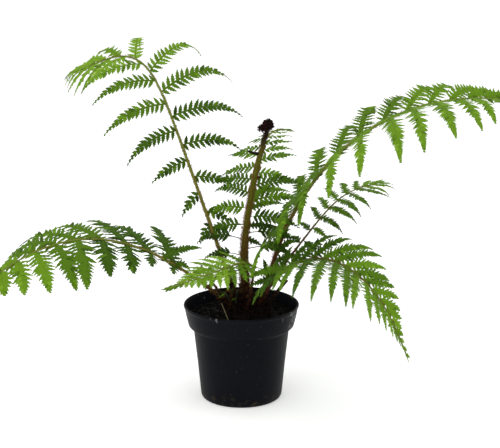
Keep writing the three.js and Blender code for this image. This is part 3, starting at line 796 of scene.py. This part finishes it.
def leaflet_spine(frond, points, pair, side):
    """A leaflet's midrib line, length, half-width, direction across it and place on the frond."""
    fraction = leaflet_fraction(frond, pair, side)
    centre, along, across, above = stalk_frame(frond, points, mixed(frond.bare, 1, fraction))
    lot = pair * 2 + (side > 0)
    length = leaflet_length(frond, fraction, lot, side)
    sweep = leaflet_sweep(frond, fraction, lot, side)
    outward = turned(across * side, above, math.radians(frond.lift))
    start = turned(along, outward, sweep)
    edge = turned(-outward, along, sweep) * side
    droop = mixed(frond.droop, frond.tip_droop, fraction)
    curl = frond.curl * (0.2 + 1.6 * chance(frond.seed, lot + 400))
    line = [centre]
    for k in range(LEAFLET_STEPS):
        gone = (k + 0.5) / LEAFLET_STEPS
        way = unit(start - UP * (droop * gone + curl * gone ** 4))
        line.append(line[-1] + way * length / LEAFLET_STEPS)
    half_width = leaflet_half_width(frond, pair, side, fraction, length)
    return np.array(line), length, half_width, edge, fraction


# Lobes: the small toothed divisions of a leaflet

def lobe_shape(teeth):
    """Corners of one toothed lobe as shares along, across and above it, with its faces.

    Its upper and lower middle lines and its edge make a thin closed lens."""
    corners = []

    def corner(x, y, above):
        corners.append((x, y, above))
        return len(corners) - 1

    def width(x):
        return float(np.interp(x, [0, 0.2, 0.45, 0.75, 1], [0.62, 0.98, 0.95, 0.6, 0]))

    tip = corner(1, 0, 0)
    top, under = [[corner(j / teeth, 0, above) for j in range(teeth)] + [tip] for above in (1, -1)]
    faces = []
    notches = {}
    for side in (1, -1):
        notch = [corner(j / teeth, side * 0.74 * width(j / teeth), 0) for j in range(teeth)] + [tip]
        points = [corner((j + 0.82) / teeth, side * 1.08 * width((j + 0.6) / teeth), 0)
                  for j in range(teeth)]
        notches[side] = notch[0]
        for middle, facing in ((top, side), (under, -side)):
            for j in range(teeth):
                new = [(middle[j], points[j], notch[j]), (middle[j], middle[j + 1], points[j])]
                if j < teeth - 1:
                    new.append((middle[j + 1], notch[j + 1], points[j]))
                faces += new if facing > 0 else [face[::-1] for face in new]
    faces += [(top[0], notches[1], under[0]), (top[0], under[0], notches[-1])]
    return np.array(corners, float), np.array(faces)


LOBES = {teeth: lobe_shape(teeth) for teeth in (2, 3, 4)}


def add_lobe(bundle, root, along, up, length, half_width, joined, tone):
    """One lobe; joined widens its foot, so that neighbours near a leaflet's tip run together."""
    teeth = 4 if length > 6 else 3 if length > 3 else 2
    corners, faces = LOBES[teeth]
    x, y, z = corners.T
    across = y * half_width * (1 + joined * (1 - x) ** 2)
    height = z * LOBE_THICKNESS * (1 - 0.6 * x) - LOBE_FOLD * np.abs(across)
    height -= LOBE_DROOP * x ** 2 * length
    side = cross(up, along)
    points = root + np.outer(x * length, along) + np.outer(across, side) + np.outer(height, up)
    bundle.add(points, faces, tone)


@functools.lru_cache(maxsize=None)
def blade_faces(rows):
    """Faces of a closed blade that has rows of four corners and a point at its end."""
    faces = []
    for k in range(rows - 1):
        for i in range(4):
            a, b = 4 * k + i, 4 * k + (i + 1) % 4
            faces += [(a, b + 4, b), (a, a + 4, b + 4)]
    last = 4 * (rows - 1)
    faces += [(last + i, 4 * rows, last + (i + 1) % 4) for i in range(4)]
    return np.array(faces + [(0, 1, 2), (0, 2, 3)])


def add_wing(bundle, line, widths, edge, tone):
    """The undivided middle of a leaflet, a thin blade along its midrib that narrows to a point."""
    ways = np.gradient(line, axis=0)
    ways /= np.linalg.norm(ways, axis=1)[:, None]
    side = edge - ways * (ways @ edge)[:, None]
    side /= np.linalg.norm(side, axis=1)[:, None]
    up = np.cross(ways, side)
    reach = widths[:, None] * side
    folded = line - LOBE_FOLD * widths[:, None] * up
    thick = 0.7 * LOBE_THICKNESS * up
    rows = np.stack([folded + reach, line - thick, folded - reach, line + thick], 1)[:-1]
    points = np.concatenate([rows.reshape(-1, 3), line[-1:]])
    bundle.add(points, blade_faces(len(rows)), tone)


def tone_of(frond, fraction, rng):
    """The number of a leaf green, from the frond's own run of greens with some chance in it."""
    names = frond.tones
    # The run goes from darker at the frond's foot to lighter at its tip, partly painted shade and
    # painted light
    place = fraction * len(names) - 0.5 + stray(TONE_WANDER, rng)
    place = min(len(names) - 1, max(0, place))
    low = names[int(place)]
    high = names[min(len(names) - 1, int(place) + 1)]
    return list(LEAF_TONES).index(high if rng.uniform() < place - int(place) else low)


def lobe_tone(leaflet_tone, share, rng):
    """The leaflet's own green, or now and then a lighter one at its tip or a darker one low down."""
    lot = rng.uniform()
    if lot < LIGHTER_LOBES * share:
        return min(len(LEAF_TONES) - 1, leaflet_tone + 1)
    if lot > 1 - DARKER_LOBES * (1 - share):
        return max(0, leaflet_tone - 1)
    return leaflet_tone


def outline(frond, share):
    """A leaflet's half-width at a share of its length, where 1 is its widest."""
    return np.interp(share, *(TAILED_PROFILE if frond.tail else LANCE_PROFILE))


def lobe_count(frond, length):
    return max(4, round(length / frond.lobe_gap))


def add_leaflet_lobe(lobes, frond, spine, share, side, merged, leaflet_tone, rng):
    """The lobe at a share of the leaflet's length, which leans towards the leaflet's tip."""
    line, length, half_width, edge, _ = spine
    step = min(LEAFLET_STEPS - 1, int(share * LEAFLET_STEPS))
    root = mixed(line[step], line[step + 1], share * LEAFLET_STEPS - step)
    way = unit(line[step + 1] - line[step])
    up = unit(cross(way, edge))
    aside = cross(up, way) * side
    lean = TAILED_LOBE_LEAN if frond.tail else LANCE_LOBE_LEAN
    angle = math.radians(mixed(lean, LOBE_TIP_LEAN, share) + stray(LOBE_LEAN_WANDER, rng))
    reach = half_width * outline(frond, share) * rng.uniform(*LOBE_REACH)
    lobe_length = max(LOBE_MIN_LENGTH, reach / math.sin(angle))
    along = unit(turned(way, aside, angle) + up * stray(LOBE_RISE_WANDER, rng))
    lobe_up = unit(up - along * (up @ along) + cross(along, up) * stray(LOBE_ROLL_WANDER, rng))
    room = frond.lobe_fill * length / lobe_count(frond, length)
    lobe_half = min(room, LOBE_MAX_SLENDER * lobe_length + 0.5)
    tone = lobe_tone(leaflet_tone, share, rng)
    joined = LOBE_JOINED_AT_TIP * smooth(share) + merged
    add_lobe(lobes, root, along, lobe_up, lobe_length, lobe_half, joined, tone)


def add_leaflet(lobes, ribs, frond, spine, rng):
    """A feathered leaflet: its midrib, its undivided middle and two rows of lobes."""
    line, length, half_width, edge, fraction = spine
    tone = tone_of(frond, fraction, rng)
    merged = smooth((fraction - MERGED_FROM) / MERGED_WITHIN)
    bare = frond.footed * max(0, 1 - fraction / FOOTED_SHARE) * rng.uniform(0.4, 1)
    count = lobe_count(frond, length)
    for k in range(count):
        for side in (1, -1):
            share = 1 - (1 - (k + 0.55 + LOBE_STAGGER * side) / (count + 0.3)) ** LOBE_CROWD
            if share >= bare:
                add_leaflet_lobe(lobes, frond, spine, share, side, merged, tone, rng)
    places = np.linspace(0, 1, len(line))
    joined = np.interp(places, [0, 0.25, 0.7, 1], frond.wing)
    wing = half_width * outline(frond, places) * mixed(joined, MERGED_WING, merged)
    wing[places < bare] = 0.3
    add_wing(lobes, line, wing, edge, tone)
    thickest = max(MIDRIB_MIN_RADIUS, length * MIDRIB_RADIUS_SHARE)
    add_tube(ribs, line, np.linspace(thickest, MIDRIB_TIP_RADIUS, len(line)), MIDRIB_SIDES, edge)
    if bare > 0.1:
        foot = int(bare * LEAFLET_STEPS) + 3
        add_tube(ribs, line[:foot], np.linspace(*BARE_FOOT_RADII, foot), MIDRIB_SIDES, edge, 1)
    if frond.tail:
        add_tube(ribs, line[-len(TAIL_RADII):], TAIL_RADII, MIDRIB_SIDES, edge, 1)


def split_share(frond):
    """The share where the outer half of a divided frond begins, as in the part's source."""
    if frond.split == 1:
        return 1
    shares = [mixed(frond.bare, 1, leaflet_fraction(frond, pair, 0)) for pair in range(frond.pairs)]
    later = next(i for i, share in enumerate(shares) if share > frond.split)
    return (shares[later - 1] + shares[later]) / 2


# Stalks, hairs and scales

def stalk_skin(frond, points):
    """A stalk's own surface: grooved above, a little uneven, thick at its foot."""
    rings = max(12, round(frond.length / STALK_RING_SPACING))
    angles = 2 * math.pi * np.arange(STALK_SIDES) / STALK_SIDES
    groove = 1 - STALK_GROOVE * np.maximum(0, np.sin(angles)) ** 6
    skin = []
    for share in np.arange(rings + 1) / rings:
        centre, _, across, above = stalk_frame(frond, points, share)
        bumps = [noise.noise(Vector((share * frond.length / 9, 3 * i, frond.seed)))
                 for i in range(STALK_SIDES)]
        ring = stalk_radius(frond, share) * groove * (1 + STALK_BUMPS * np.array(bumps))
        aside, upward = ring * np.cos(angles), ring * np.sin(angles)
        skin.append(centre + np.outer(aside, across) + np.outer(upward, above))
    bundle = Bundle()
    bundle.add(np.concatenate(skin), ring_faces(rings + 1, STALK_SIDES))
    return bundle.piece(frond.name + "_stalk", smooth=True)


def add_hair(bundle, root, out, bend, length, radius, tone=0):
    middle = root + out * length * 0.5 + bend * length * 0.12
    line = np.array([root, middle, root + out * length * 0.85 + bend * length * 0.5])
    up = cross(out, bend) + 1e-4
    add_tube(bundle, line, [radius, radius * 0.75, radius * 0.12], 3, up, tone)


def add_stalk_hairs(bundle, frond, points, rng):
    """Soft hairs that stand out from a stalk, thickest and darkest near the crown."""
    growth = CROZIER_HAIR_GROWTH if frond is CROZIER else 1
    for _ in range(frond.hairs):
        share = rng.uniform() ** 1.5 * 0.93
        root, along, out = skin_place(frond, points, share, HAIR_SINK, rng)
        lean = unit(out + along * rng.uniform(-0.1, 0.9) + rng.normal(0, 0.25, 3))
        length = rng.uniform(*HAIR_LENGTHS) * (1 - 0.5 * share) * growth
        tone = 2 if rng.uniform() > 5 * share else int(rng.integers(2))
        add_hair(bundle, root, lean, unit(along + rng.normal(0, 0.5, 3)), length, HAIR_RADIUS, tone)


def add_scale(bundle, root, along, up, length, half_width, tone):
    """A papery pointed scale: a thin closed blade, widest near its foot."""
    side = cross(up, along) * half_width
    rows = []
    for x, width in ((0, 0.5), (0.3, 1), (0.7, 0.55)):
        centre = root + along * x * length + up * 0.25 * x * x * length
        rows += [centre - side * width, centre + up * 0.22, centre + side * width, centre - up * 0.12]
    rows.append(root + along * length + up * 0.25 * length)
    bundle.add(np.array(rows), blade_faces(3)[:, ::-1], tone)


# Pot, compost and crown

def pot_profile():
    """Radii and heights up the outside and down the inside, with small steps at the edges."""
    foot, neck, band, rim = POT_BASE_RADIUS, POT_NECK_RADIUS, POT_BAND_RADIUS, POT_RIM_RADIUS
    step, under, top = POT_NECK_HEIGHT, POT_BAND_BOTTOM, POT_HEIGHT
    outer = [
        (foot - 2.5, 0), (foot - 0.8, 0.35), (foot + 0.4, 1.3), (foot + 1.6, 3.4), (foot + 2.6, 12),
        (POT_WAIST_RADIUS, POT_WAIST_HEIGHT), (neck - 0.2, step - 2.4), (neck, step),
        (neck + 0.35, step + 0.9), (neck + 1.1, step + 1.6), (band - 1.2, under - 1.2),
        (band - 0.4, under - 0.5), (band, under + 0.5), (band + 0.4, under + 2),
        (POT_BAND_MIDDLE_RADIUS, POT_BAND_MIDDLE_HEIGHT), (rim - 1.7, top - 6.4), (rim - 1.2, top - 4.2),
        (rim - 0.35, top - 3.3), (rim, top - 1.7), (rim - 0.35, top - 0.5), (rim - 1, top),
        (rim - 1.8, top - 0.1), (rim - 2.4, top - 0.8), (rim - 3, top - 3)]
    inner = [
        (POT_BAND_MIDDLE_RADIUS, POT_BAND_MIDDLE_HEIGHT), (band, under), (neck, step),
        (POT_WAIST_RADIUS, POT_WAIST_HEIGHT), (foot + 1.4, POT_FLOOR + 1.5), (foot, POT_FLOOR)]
    return outer + [(radius - POT_WALL, height) for radius, height in inner]


def drain_drill():
    """All the drain holes as one body."""
    drills = []
    for i in range(DRAIN_HOLES):
        place = (*on_circle(DRAIN_CIRCLE * MM, 2 * math.pi * (i + 0.5) / DRAIN_HOLES), 0)
        bpy.ops.mesh.primitive_cylinder_add(
            vertices=32, radius=DRAIN_RADIUS * MM, depth=4 * POT_FLOOR * MM, location=place)
        drills.append(bpy.context.object)
        settle(drills[-1])
    choose(drills[0])
    for drill in drills:
        drill.select_set(True)
    bpy.ops.object.join()
    return drills[0]


def make_pot():
    pot = drawn_round("pot_shell", pot_profile(), POT_SEGMENTS)
    drill = drain_drill()
    cut = pot.modifiers.new("drain holes", "BOOLEAN")
    cut.object = drill
    cut.solver = "EXACT"
    apply_modifiers(pot)
    bpy.data.objects.remove(drill)
    shade(pot, 32)
    finish_piece(pot, "pot", [pot_finish()], "pot")


def soil_top(radius):
    share = smooth((SOIL_EDGE_RADIUS - radius) / (SOIL_EDGE_RADIUS - SOIL_FLAT_RADIUS))
    return mixed(SOIL_EDGE_HEIGHT, SOIL_HEIGHT, share)


def soil_relief(x, y):
    rough = noise.noise(Vector((x / 9, y / 9, 2.5))) + 0.5 * noise.noise(Vector((x / 3.4, y / 3.4, 7.5)))
    return SOIL_RELIEF * rough


def soil_place(x, y, above):
    return np.array([x, y, soil_top(math.hypot(x, y)) + soil_relief(x, y) + above])


def place_on_disc(radius, rng, least=0):
    """A random place on a disc, as likely everywhere."""
    away = radius * math.sqrt(rng.uniform(least, 1))
    return on_circle(away, rng.uniform(0, 2 * math.pi))


def make_soil():
    inside = POT_WALL + 0.4
    wall = [(POT_BASE_RADIUS - inside, POT_FLOOR + 0.4), (POT_BASE_RADIUS - inside + 1.5, POT_FLOOR + 2),
            (POT_WAIST_RADIUS - inside, POT_WAIST_HEIGHT),
            (POT_NECK_RADIUS - inside - 0.1, POT_NECK_HEIGHT - 0.4),
            (POT_BAND_RADIUS - inside - 0.2, POT_BAND_BOTTOM),
            (SOIL_EDGE_RADIUS, SOIL_EDGE_HEIGHT - 1.5)]
    top = [(radius, soil_top(radius)) for radius in np.linspace(SOIL_EDGE_RADIUS, 1, SOIL_RINGS)]
    soil = drawn_round("soil_surface", wall + top, SOIL_SEGMENTS)
    for vertex in soil.data.vertices:
        x, y, z = vertex.co / MM
        if z > SOIL_EDGE_HEIGHT - 0.2:
            inward = smooth((SOIL_EDGE_RADIUS - math.hypot(x, y)) / 6)
            vertex.co.z += soil_relief(x, y) * MM * inward
    shade(soil, 60)
    finish_piece(soil, "soil", [soil_finish()], "soil")


def lump_shape():
    bpy.ops.mesh.primitive_ico_sphere_add(subdivisions=1, radius=1, location=(0, 0, 0))
    lump = bpy.context.object
    points = np.array([vertex.co for vertex in lump.data.vertices], float)
    faces = np.array([list(face.vertices) for face in lump.data.polygons])
    bpy.data.objects.remove(lump)
    return points, faces


def turn_matrix(rng):
    """A turn about a random axis."""
    columns, _ = np.linalg.qr(rng.normal(size=(3, 3)))
    return columns * (1 if np.linalg.det(columns) > 0 else -1)


def make_crumbs():
    rng = np.random.default_rng(21)
    points, faces = lump_shape()
    crumbs = Bundle()
    for _ in range(CRUMBS):
        x, y = place_on_disc(SOIL_EDGE_RADIUS - 3, rng)
        size = rng.uniform(*CRUMB_SIZES) + RARE_CRUMB_EXTRA * rng.uniform() ** 9
        lump = points * rng.uniform(0.7, 1.2, (len(points), 1)) * rng.uniform(0.6, 1.3, 3) * size
        tone = int(rng.choice([0, 0, 0, 0, 1, 1, 2]))
        crumbs.add(lump @ turn_matrix(rng).T + soil_place(x, y, size * 0.25), faces, tone)
    for _ in range(CRUMB_FIBRES):
        root = soil_place(*place_on_disc(SOIL_EDGE_RADIUS - 8, rng), 0.3)
        lean = unit(np.array([rng.normal(), rng.normal(), abs(rng.normal(0.1, 0.2))]))
        bend = unit(rng.normal(size=3))
        length = rng.uniform(*CRUMB_FIBRE_LENGTHS)
        add_hair(crumbs, root, lean, bend, length, CRUMB_FIBRE_RADIUS, int(rng.choice([1, 2])))
    materials = [crumb_finish("dark_crumbs", (2, 2, 2), (7, 5, 4)),
                 crumb_finish("brown_crumbs", (6, 4, 3), (14, 10, 7)),
                 crumb_finish("grey_crumbs", (18, 17, 15), (44, 40, 35))]
    finish_piece(crumbs.piece("soil_crumbs"), "soil", materials)


def crown_rib(x, y):
    """How far the ribs swell the crown's outline in a direction from its middle."""
    return 1 + CROWN_RIB_DEPTH * math.cos(CROWN_RIBS * math.atan2(y, x))


def crown_height(x, y):
    """The crown's height above the soil at a place measured from its middle."""
    share = math.hypot(x, y) / (CROWN_RADIUS * crown_rib(x, y))
    return CROWN_HEIGHT * math.sqrt(max(0, 1 - share * share))


def make_crown():
    bpy.ops.mesh.primitive_uv_sphere_add(
        segments=CROWN_SEGMENTS, ring_count=CROWN_RINGS, radius=1, location=(0, 0, 0))
    crown = bpy.context.object
    crown.name = "crown_body"
    edit(crown)
    bpy.ops.mesh.bisect(plane_co=(0, 0, 0), plane_no=(0, 0, 1), clear_inner=True, use_fill=True)
    leave_edit()
    for vertex in crown.data.vertices:
        x, y, z = vertex.co
        coarse = noise.noise(Vector((x, y, z)) * 9)
        rough = coarse * 0.05 + noise.noise(Vector((x * 26, y * 26, z * 9))) * 0.035
        swell = (crown_rib(x, y) + (rough if z > 0.001 else 0)) * SKIN_SHARE_OF_CROWN * CROWN_RADIUS
        height = z * CROWN_HEIGHT * (1 + rough * 0.6) * SKIN_SHARE_OF_CROWN
        place = (CROWN[0] + x * swell, CROWN[1] + y * swell, SOIL_HEIGHT + 0.3 + height)
        vertex.co = Vector(place) * MM
    shade(crown, 60)
    finish_piece(crown, "crown", [crown_finish()], "crown")


def add_crown_cover(scales, rng):
    middle = np.array([CROWN[0], CROWN[1], SOIL_HEIGHT], float)
    for i in range(CROWN_SCALES + CROWN_FIBRES):
        x, y = place_on_disc(CROWN_RADIUS * 0.97, rng, 0.02)
        height = crown_height(x, y)
        root = middle + np.array([x, y, height - 0.5])
        out = unit(np.array([x, y, 12 + 0.4 * height]))
        along = unit(out * 0.55 + UP * rng.uniform(0.1, 1) + rng.normal(0, 0.3, 3))
        if i < CROWN_SCALES:
            up = unit(out - along * (out @ along))
            size = rng.uniform(*CROWN_SCALE_LENGTHS), rng.uniform(*CROWN_SCALE_HALF_WIDTHS)
            add_scale(scales, root, along, up, *size, int(rng.integers(3)))
        else:
            bend = unit(rng.normal(size=3))
            length = rng.uniform(*CROWN_FIBRE_LENGTHS)
            add_hair(scales, root, along, bend, length, CROWN_FIBRE_RADIUS, int(rng.integers(3)))


def add_foot_scales(scales, frond, rng):
    points = stalk_points(frond)
    for _ in range(int(FOOT_SCALES_PER_RADIUS * frond.stalk[0])):
        share = FOOT_SCALES_HEIGHT * rng.uniform() ** 1.3 / frond.length
        root, along, out = skin_place(frond, points, share, SCALE_SINK, rng)
        way = unit(along + out * rng.uniform(0.1, 0.55) + rng.normal(0, 0.12, 3))
        size = rng.uniform(*FOOT_SCALE_LENGTHS), rng.uniform(*FOOT_SCALE_HALF_WIDTHS)
        add_scale(scales, root, way, unit(out - way * (out @ way)), *size, int(rng.integers(3)))


def make_crown_scales():
    """Scales and fibres that clothe the crown and the feet of the stalks."""
    rng = np.random.default_rng(22)
    scales = Bundle()
    add_crown_cover(scales, rng)
    for frond in FRONDS + [CROZIER, OLD_STALK]:
        add_foot_scales(scales, frond, rng)
    materials = [dark_finish("dark_scales", (7, 4, 3), (17, 10, 6)),
                 dark_finish("red_scales", (22, 10, 6), (44, 20, 12)),
                 dark_finish("tan_scales", (28, 17, 9), (54, 34, 19))]
    finish_piece(scales.piece("crown_scales"), "crown", materials)


# Fronds, crozier and the small things at the crown

def make_frond(frond, greens, rib_greens, hair_materials):
    points = stalk_points(frond)
    name = frond.name
    nodes = [name] if frond.split == 1 else [name + "_inner", name + "_outer"]
    leaf_slot = "pale_leaf" if name == "pale_front_frond" else "leaf"
    skin = stalk_finish(name + "_stalk_skin", STALK_BANDS[frond.stain])
    finish_piece(stalk_skin(frond, points), leaf_slot, [skin], *nodes)
    split = split_share(frond)
    lobes = {node: Bundle() for node in nodes}
    ribs = Bundle()
    rng = np.random.default_rng(100 + frond.seed)
    for pair in range(frond.pairs):
        share = mixed(frond.bare, 1, leaflet_fraction(frond, pair, 0))
        node = nodes[0] if share < split else nodes[-1]
        for side in (1, -1):
            add_leaflet(lobes[node], ribs, frond, leaflet_spine(frond, points, pair, side), rng)
    for node in nodes:
        finish_piece(lobes[node].piece(node + "_leaflets"), leaf_slot, greens, node)
    finish_piece(ribs.piece(name + "_midribs", smooth=True), leaf_slot, rib_greens)
    hairs = Bundle()
    add_stalk_hairs(hairs, frond, points, rng)
    finish_piece(hairs.piece(name + "_hairs"), "stalk", hair_materials)


def make_low_leaflets(greens, rib_greens):
    """Single broad leaflets on the lower stalks, which close the gaps round the crozier."""
    rng = np.random.default_rng(25)
    lobes, ribs = Bundle(), Bundle()
    shares = np.linspace(0, 1, LEAFLET_STEPS + 1)[:, None]
    for name, place, tip, arch, half_width, tone in LOW_LEAFLETS:
        frond = next(frond for frond in FRONDS if frond.name == name)
        look = frond_of("low_leaflet", lobe_gap=4.4, wing=(0.4, 0.5, 0.5, 0.7), tones=(tone, tone))
        foot = stalk_frame(frond, stalk_points(frond), place)[0]
        reach = np.array(tip) - foot
        line = foot + reach * shares + UP * 4 * arch * shares * (1 - shares)
        edge = unit(cross(LOW_LEAFLET_FACING, reach))
        spine = (line, float(np.linalg.norm(reach)), half_width, edge, 0)
        add_leaflet(lobes, ribs, look, spine, rng)
    finish_piece(lobes.piece("low_leaflets"), "leaf", greens)
    finish_piece(ribs.piece("low_leaflet_midribs", smooth=True), "leaf", rib_greens)


def coil_line(points):
    """The middle line of the coiled top, from the stalk's end to the heart of the coil."""
    centre, along, _, _ = stalk_frame(CROZIER, points, 1)
    aside = unit(np.array([along[2], 0, -along[0]]))
    start = math.radians(COIL_START)
    middle = centre - turned(aside, along, start) * COIL_REACH
    line = []
    for share in np.linspace(0, 1, COIL_RINGS):
        gone = 1 - (1 - share) ** 0.43
        angle = start - 2 * math.pi * COIL_TURNS * gone
        radius = COIL_REACH * (1 - gone) ** 1.3
        line.append(middle + turned(aside, along, angle) * radius)
    return np.array(line)


def curl_points():
    """One tightly rolled leaflet of the coil, about one unit across and lying across Y."""
    turns = np.linspace(0, 1, CURL_STEPS)
    angle = 2 * math.pi * 1.5 * turns
    radius = 0.85 - 0.68 * turns
    line = np.stack([radius * np.cos(angle), 0.25 * turns, radius * np.sin(angle)], 1)
    return tube_points(line, np.interp(turns, [0, 0.3, 1], [0.2, 0.38, 0.24]), CURL_SIDES, AWAY)


def spread_ways(count):
    """Directions spread evenly over a ball."""
    places = (np.arange(count) + 0.5) / count
    tilt = np.arccos(1 - 2 * places)
    turn = math.pi * (1 + 5 ** 0.5) * np.arange(count)
    return np.stack([np.cos(turn) * np.sin(tilt), np.sin(turn) * np.sin(tilt), np.cos(tilt)], 1)


def add_curls(coil, hairs, centre, reach, count, sizes, rng):
    """A ball of rolled leaflets, each with some hairs."""
    curl = curl_points()
    for way in spread_ways(count):
        spot = centre + way * reach * rng.uniform(0.85, 1.08)
        rolled = (curl * rng.uniform(*sizes)) @ turn_matrix(rng).T
        coil.add(rolled + spot, ring_faces(CURL_STEPS, CURL_SIDES), 1)
        for _ in range(COIL_HAIRS):
            out = unit(way + rng.normal(0, 0.5, 3))
            bend = unit(rng.normal(size=3))
            length = rng.uniform(*COIL_HAIR_LENGTHS)
            add_hair(hairs, spot + out * 1.5, out, bend, length, COIL_HAIR_RADIUS)


def make_coil(points):
    """A tight coil under a crowd of rolled leaflets, with a smaller lobe at its left."""
    line = coil_line(points)
    middle = line.mean(axis=0)
    lobe_middle = middle + np.array(COIL_LOBE)
    coil = Bundle()
    add_tube(coil, line, np.full(COIL_RINGS, COIL_THICKNESS), COIL_SIDES, AWAY)
    add_tube(coil, np.linspace(line[0], lobe_middle, len(COIL_NECK)), COIL_NECK, COIL_SIDES, AWAY)
    rng = np.random.default_rng(23)
    hairs = Bundle()
    add_curls(coil, hairs, middle, COIL_CURL_REACH, COIL_CURLS, COIL_CURL_SIZES, rng)
    add_curls(coil, hairs, lobe_middle, COIL_LOBE_REACH, COIL_LOBE_CURLS, COIL_LOBE_CURL_SIZES, rng)
    materials = [dark_finish("coil_skin", (7, 3, 2), (26, 10, 6)),
                 dark_finish("coil_curls", (8, 3, 2), (46, 15, 9))]
    finish_piece(coil.piece("crozier_coil", smooth=True), "stalk", materials, "crozier")
    hair = dark_finish("coil_hair", (10, 5, 3), (40, 20, 10))
    finish_piece(hairs.piece("crozier_coil_hairs"), "stalk", [hair])


def add_bud(bundle, root, way, length, radius):
    """A dark undeveloped leaflet that sits on the crozier, bent up at its end."""
    places = np.linspace(0, 1, 9)
    line = np.array([root + way * length * x + UP * 0.5 * length * 0.35 * x ** 3 for x in places])
    radii = radius * np.interp(places, [0, 0.15, 0.6, 1], [0.7, 1, 0.9, 0.35])
    add_tube(bundle, line, radii, 8, np.array([0.1, 1.0, 0.2]))


def make_crozier(hair_materials):
    points = stalk_points(CROZIER)
    skin = stalk_finish("crozier_skin", CROZIER_BANDS)
    finish_piece(stalk_skin(CROZIER, points), "stalk", [skin], "crozier")
    make_coil(points)
    buds = Bundle()
    upper = stalk_frame(CROZIER, points, 0.86)[0]
    lower = stalk_frame(CROZIER, points, 0.72)[0]
    add_bud(buds, upper + LEFT * 2, unit(LEFT + UP * 0.1), 17, 2.4)
    add_bud(buds, lower - LEFT * 3, unit(UP * 0.5 - LEFT), 6, 2)
    bud_skin = dark_finish("bud_skin", (9, 7, 6), (34, 22, 14))
    finish_piece(buds.piece("crozier_buds", smooth=True), "stalk", [bud_skin])
    hairs = Bundle()
    rng = np.random.default_rng(24)
    add_stalk_hairs(hairs, CROZIER, points, rng)
    for _ in range(NECK_HAIRS):
        root, along, out = skin_place(CROZIER, points, rng.uniform(0.9, 1), HAIR_SINK, rng)
        way = unit(along + out * rng.uniform(0.2, 1) + rng.normal(0, 0.2, 3))
        bend = unit(rng.normal(size=3))
        add_hair(hairs, root, way, bend, rng.uniform(*NECK_HAIR_LENGTHS), NECK_HAIR_RADIUS, 2)
    finish_piece(hairs.piece("crozier_hairs"), "stalk", hair_materials)


def make_old_stalk():
    skin = dark_finish("old_stalk_skin", (22, 15, 10), (62, 44, 26))
    finish_piece(stalk_skin(OLD_STALK, stalk_points(OLD_STALK)), "stalk", [skin], "old_stalk")


def make_bits():
    """A dry straw stuck in the compost and two thin young curls at the crown's front."""
    bits = Bundle()
    add_tube(bits, np.linspace(STRAW[0], STRAW[1], 5), [0.55, 0.5, 0.5, 0.4, 0.3], 6, AWAY)
    places = np.linspace(0, 1, 12)
    gone = places[:, None]
    radii = np.interp(places, [0, 0.6, 1], [1.1, 0.9, 0.4])
    for root, top, end in CURLS:
        pull = 1.6 * top - 0.3 * (root + end)
        line = (1 - gone) ** 2 * root + 2 * gone * (1 - gone) * pull + gone ** 2 * end
        add_tube(bits, line, radii, 8, AWAY, 1)
    materials = [plain_finish("dry_straw", (150, 138, 104), 0.7, 0.1),
                 dark_finish("curl_skin", (30, 34, 20), (84, 90, 62))]
    finish_piece(bits.piece("crown_bits", smooth=True), "stalk", materials)


# The room and the camera

def make_floor():
    bpy.ops.mesh.primitive_circle_add(vertices=96, radius=FLOOR_RADIUS * MM, fill_type="NGON")
    floor = bpy.context.object
    floor.name = "floor"
    floor.data.materials.append(floor_finish())


def area_light(name, place, size, power):
    bpy.ops.object.light_add(type="AREA", location=place)
    light = bpy.context.object
    light.name = name
    light.data.size = size
    light.data.energy = power
    light.rotation_euler = (Vector(LIGHT_TARGET) - Vector(place)).to_track_quat("-Z", "Y").to_euler()


def make_room():
    world = bpy.data.worlds.new("white_room")
    world.use_nodes = True
    background = world.node_tree.nodes["Background"]
    background.inputs["Color"].default_value = (1, 1, 1, 1)
    background.inputs["Strength"].default_value = ROOM_BRIGHTNESS
    bpy.context.scene.world = world
    for light in LIGHTS:
        area_light(*light)
    bpy.context.scene.view_settings.view_transform = "Standard"


def make_camera():
    elevation = math.radians(VIEW_ELEVATION)
    back = Vector((0, -math.cos(elevation), math.sin(elevation)))
    target = Vector(VIEW_TARGET) * MM
    bpy.ops.object.camera_add(location=target + back * VIEW_DISTANCE * MM)
    camera = bpy.context.object
    camera.rotation_euler = (-back).to_track_quat("-Z", "Y").to_euler()
    camera.data.sensor_fit = "HORIZONTAL"
    camera.data.sensor_width = VIEW_SENSOR_WIDTH
    camera.data.lens = VIEW_LENS
    camera.data.clip_end = 100
    bpy.context.scene.camera = camera


make_camera()
make_room()
make_floor()
make_pot()
make_soil()
make_crumbs()
make_crown()
make_crown_scales()
green_materials = plain_finishes({"leaf_" + name: tone for name, tone in LEAF_TONES.items()}, 0.65, 0.06)
rib_materials = plain_finishes(MIDRIB_TONES, 0.65, 0.06)
hair_colours = plain_finishes(HAIR_TONES, 0.7, 0.2)
for frond in FRONDS:
    make_frond(frond, green_materials, rib_materials, hair_colours)
make_low_leaflets(green_materials, rib_materials)
make_crozier(hair_colours)
make_old_stalk()
make_bits()
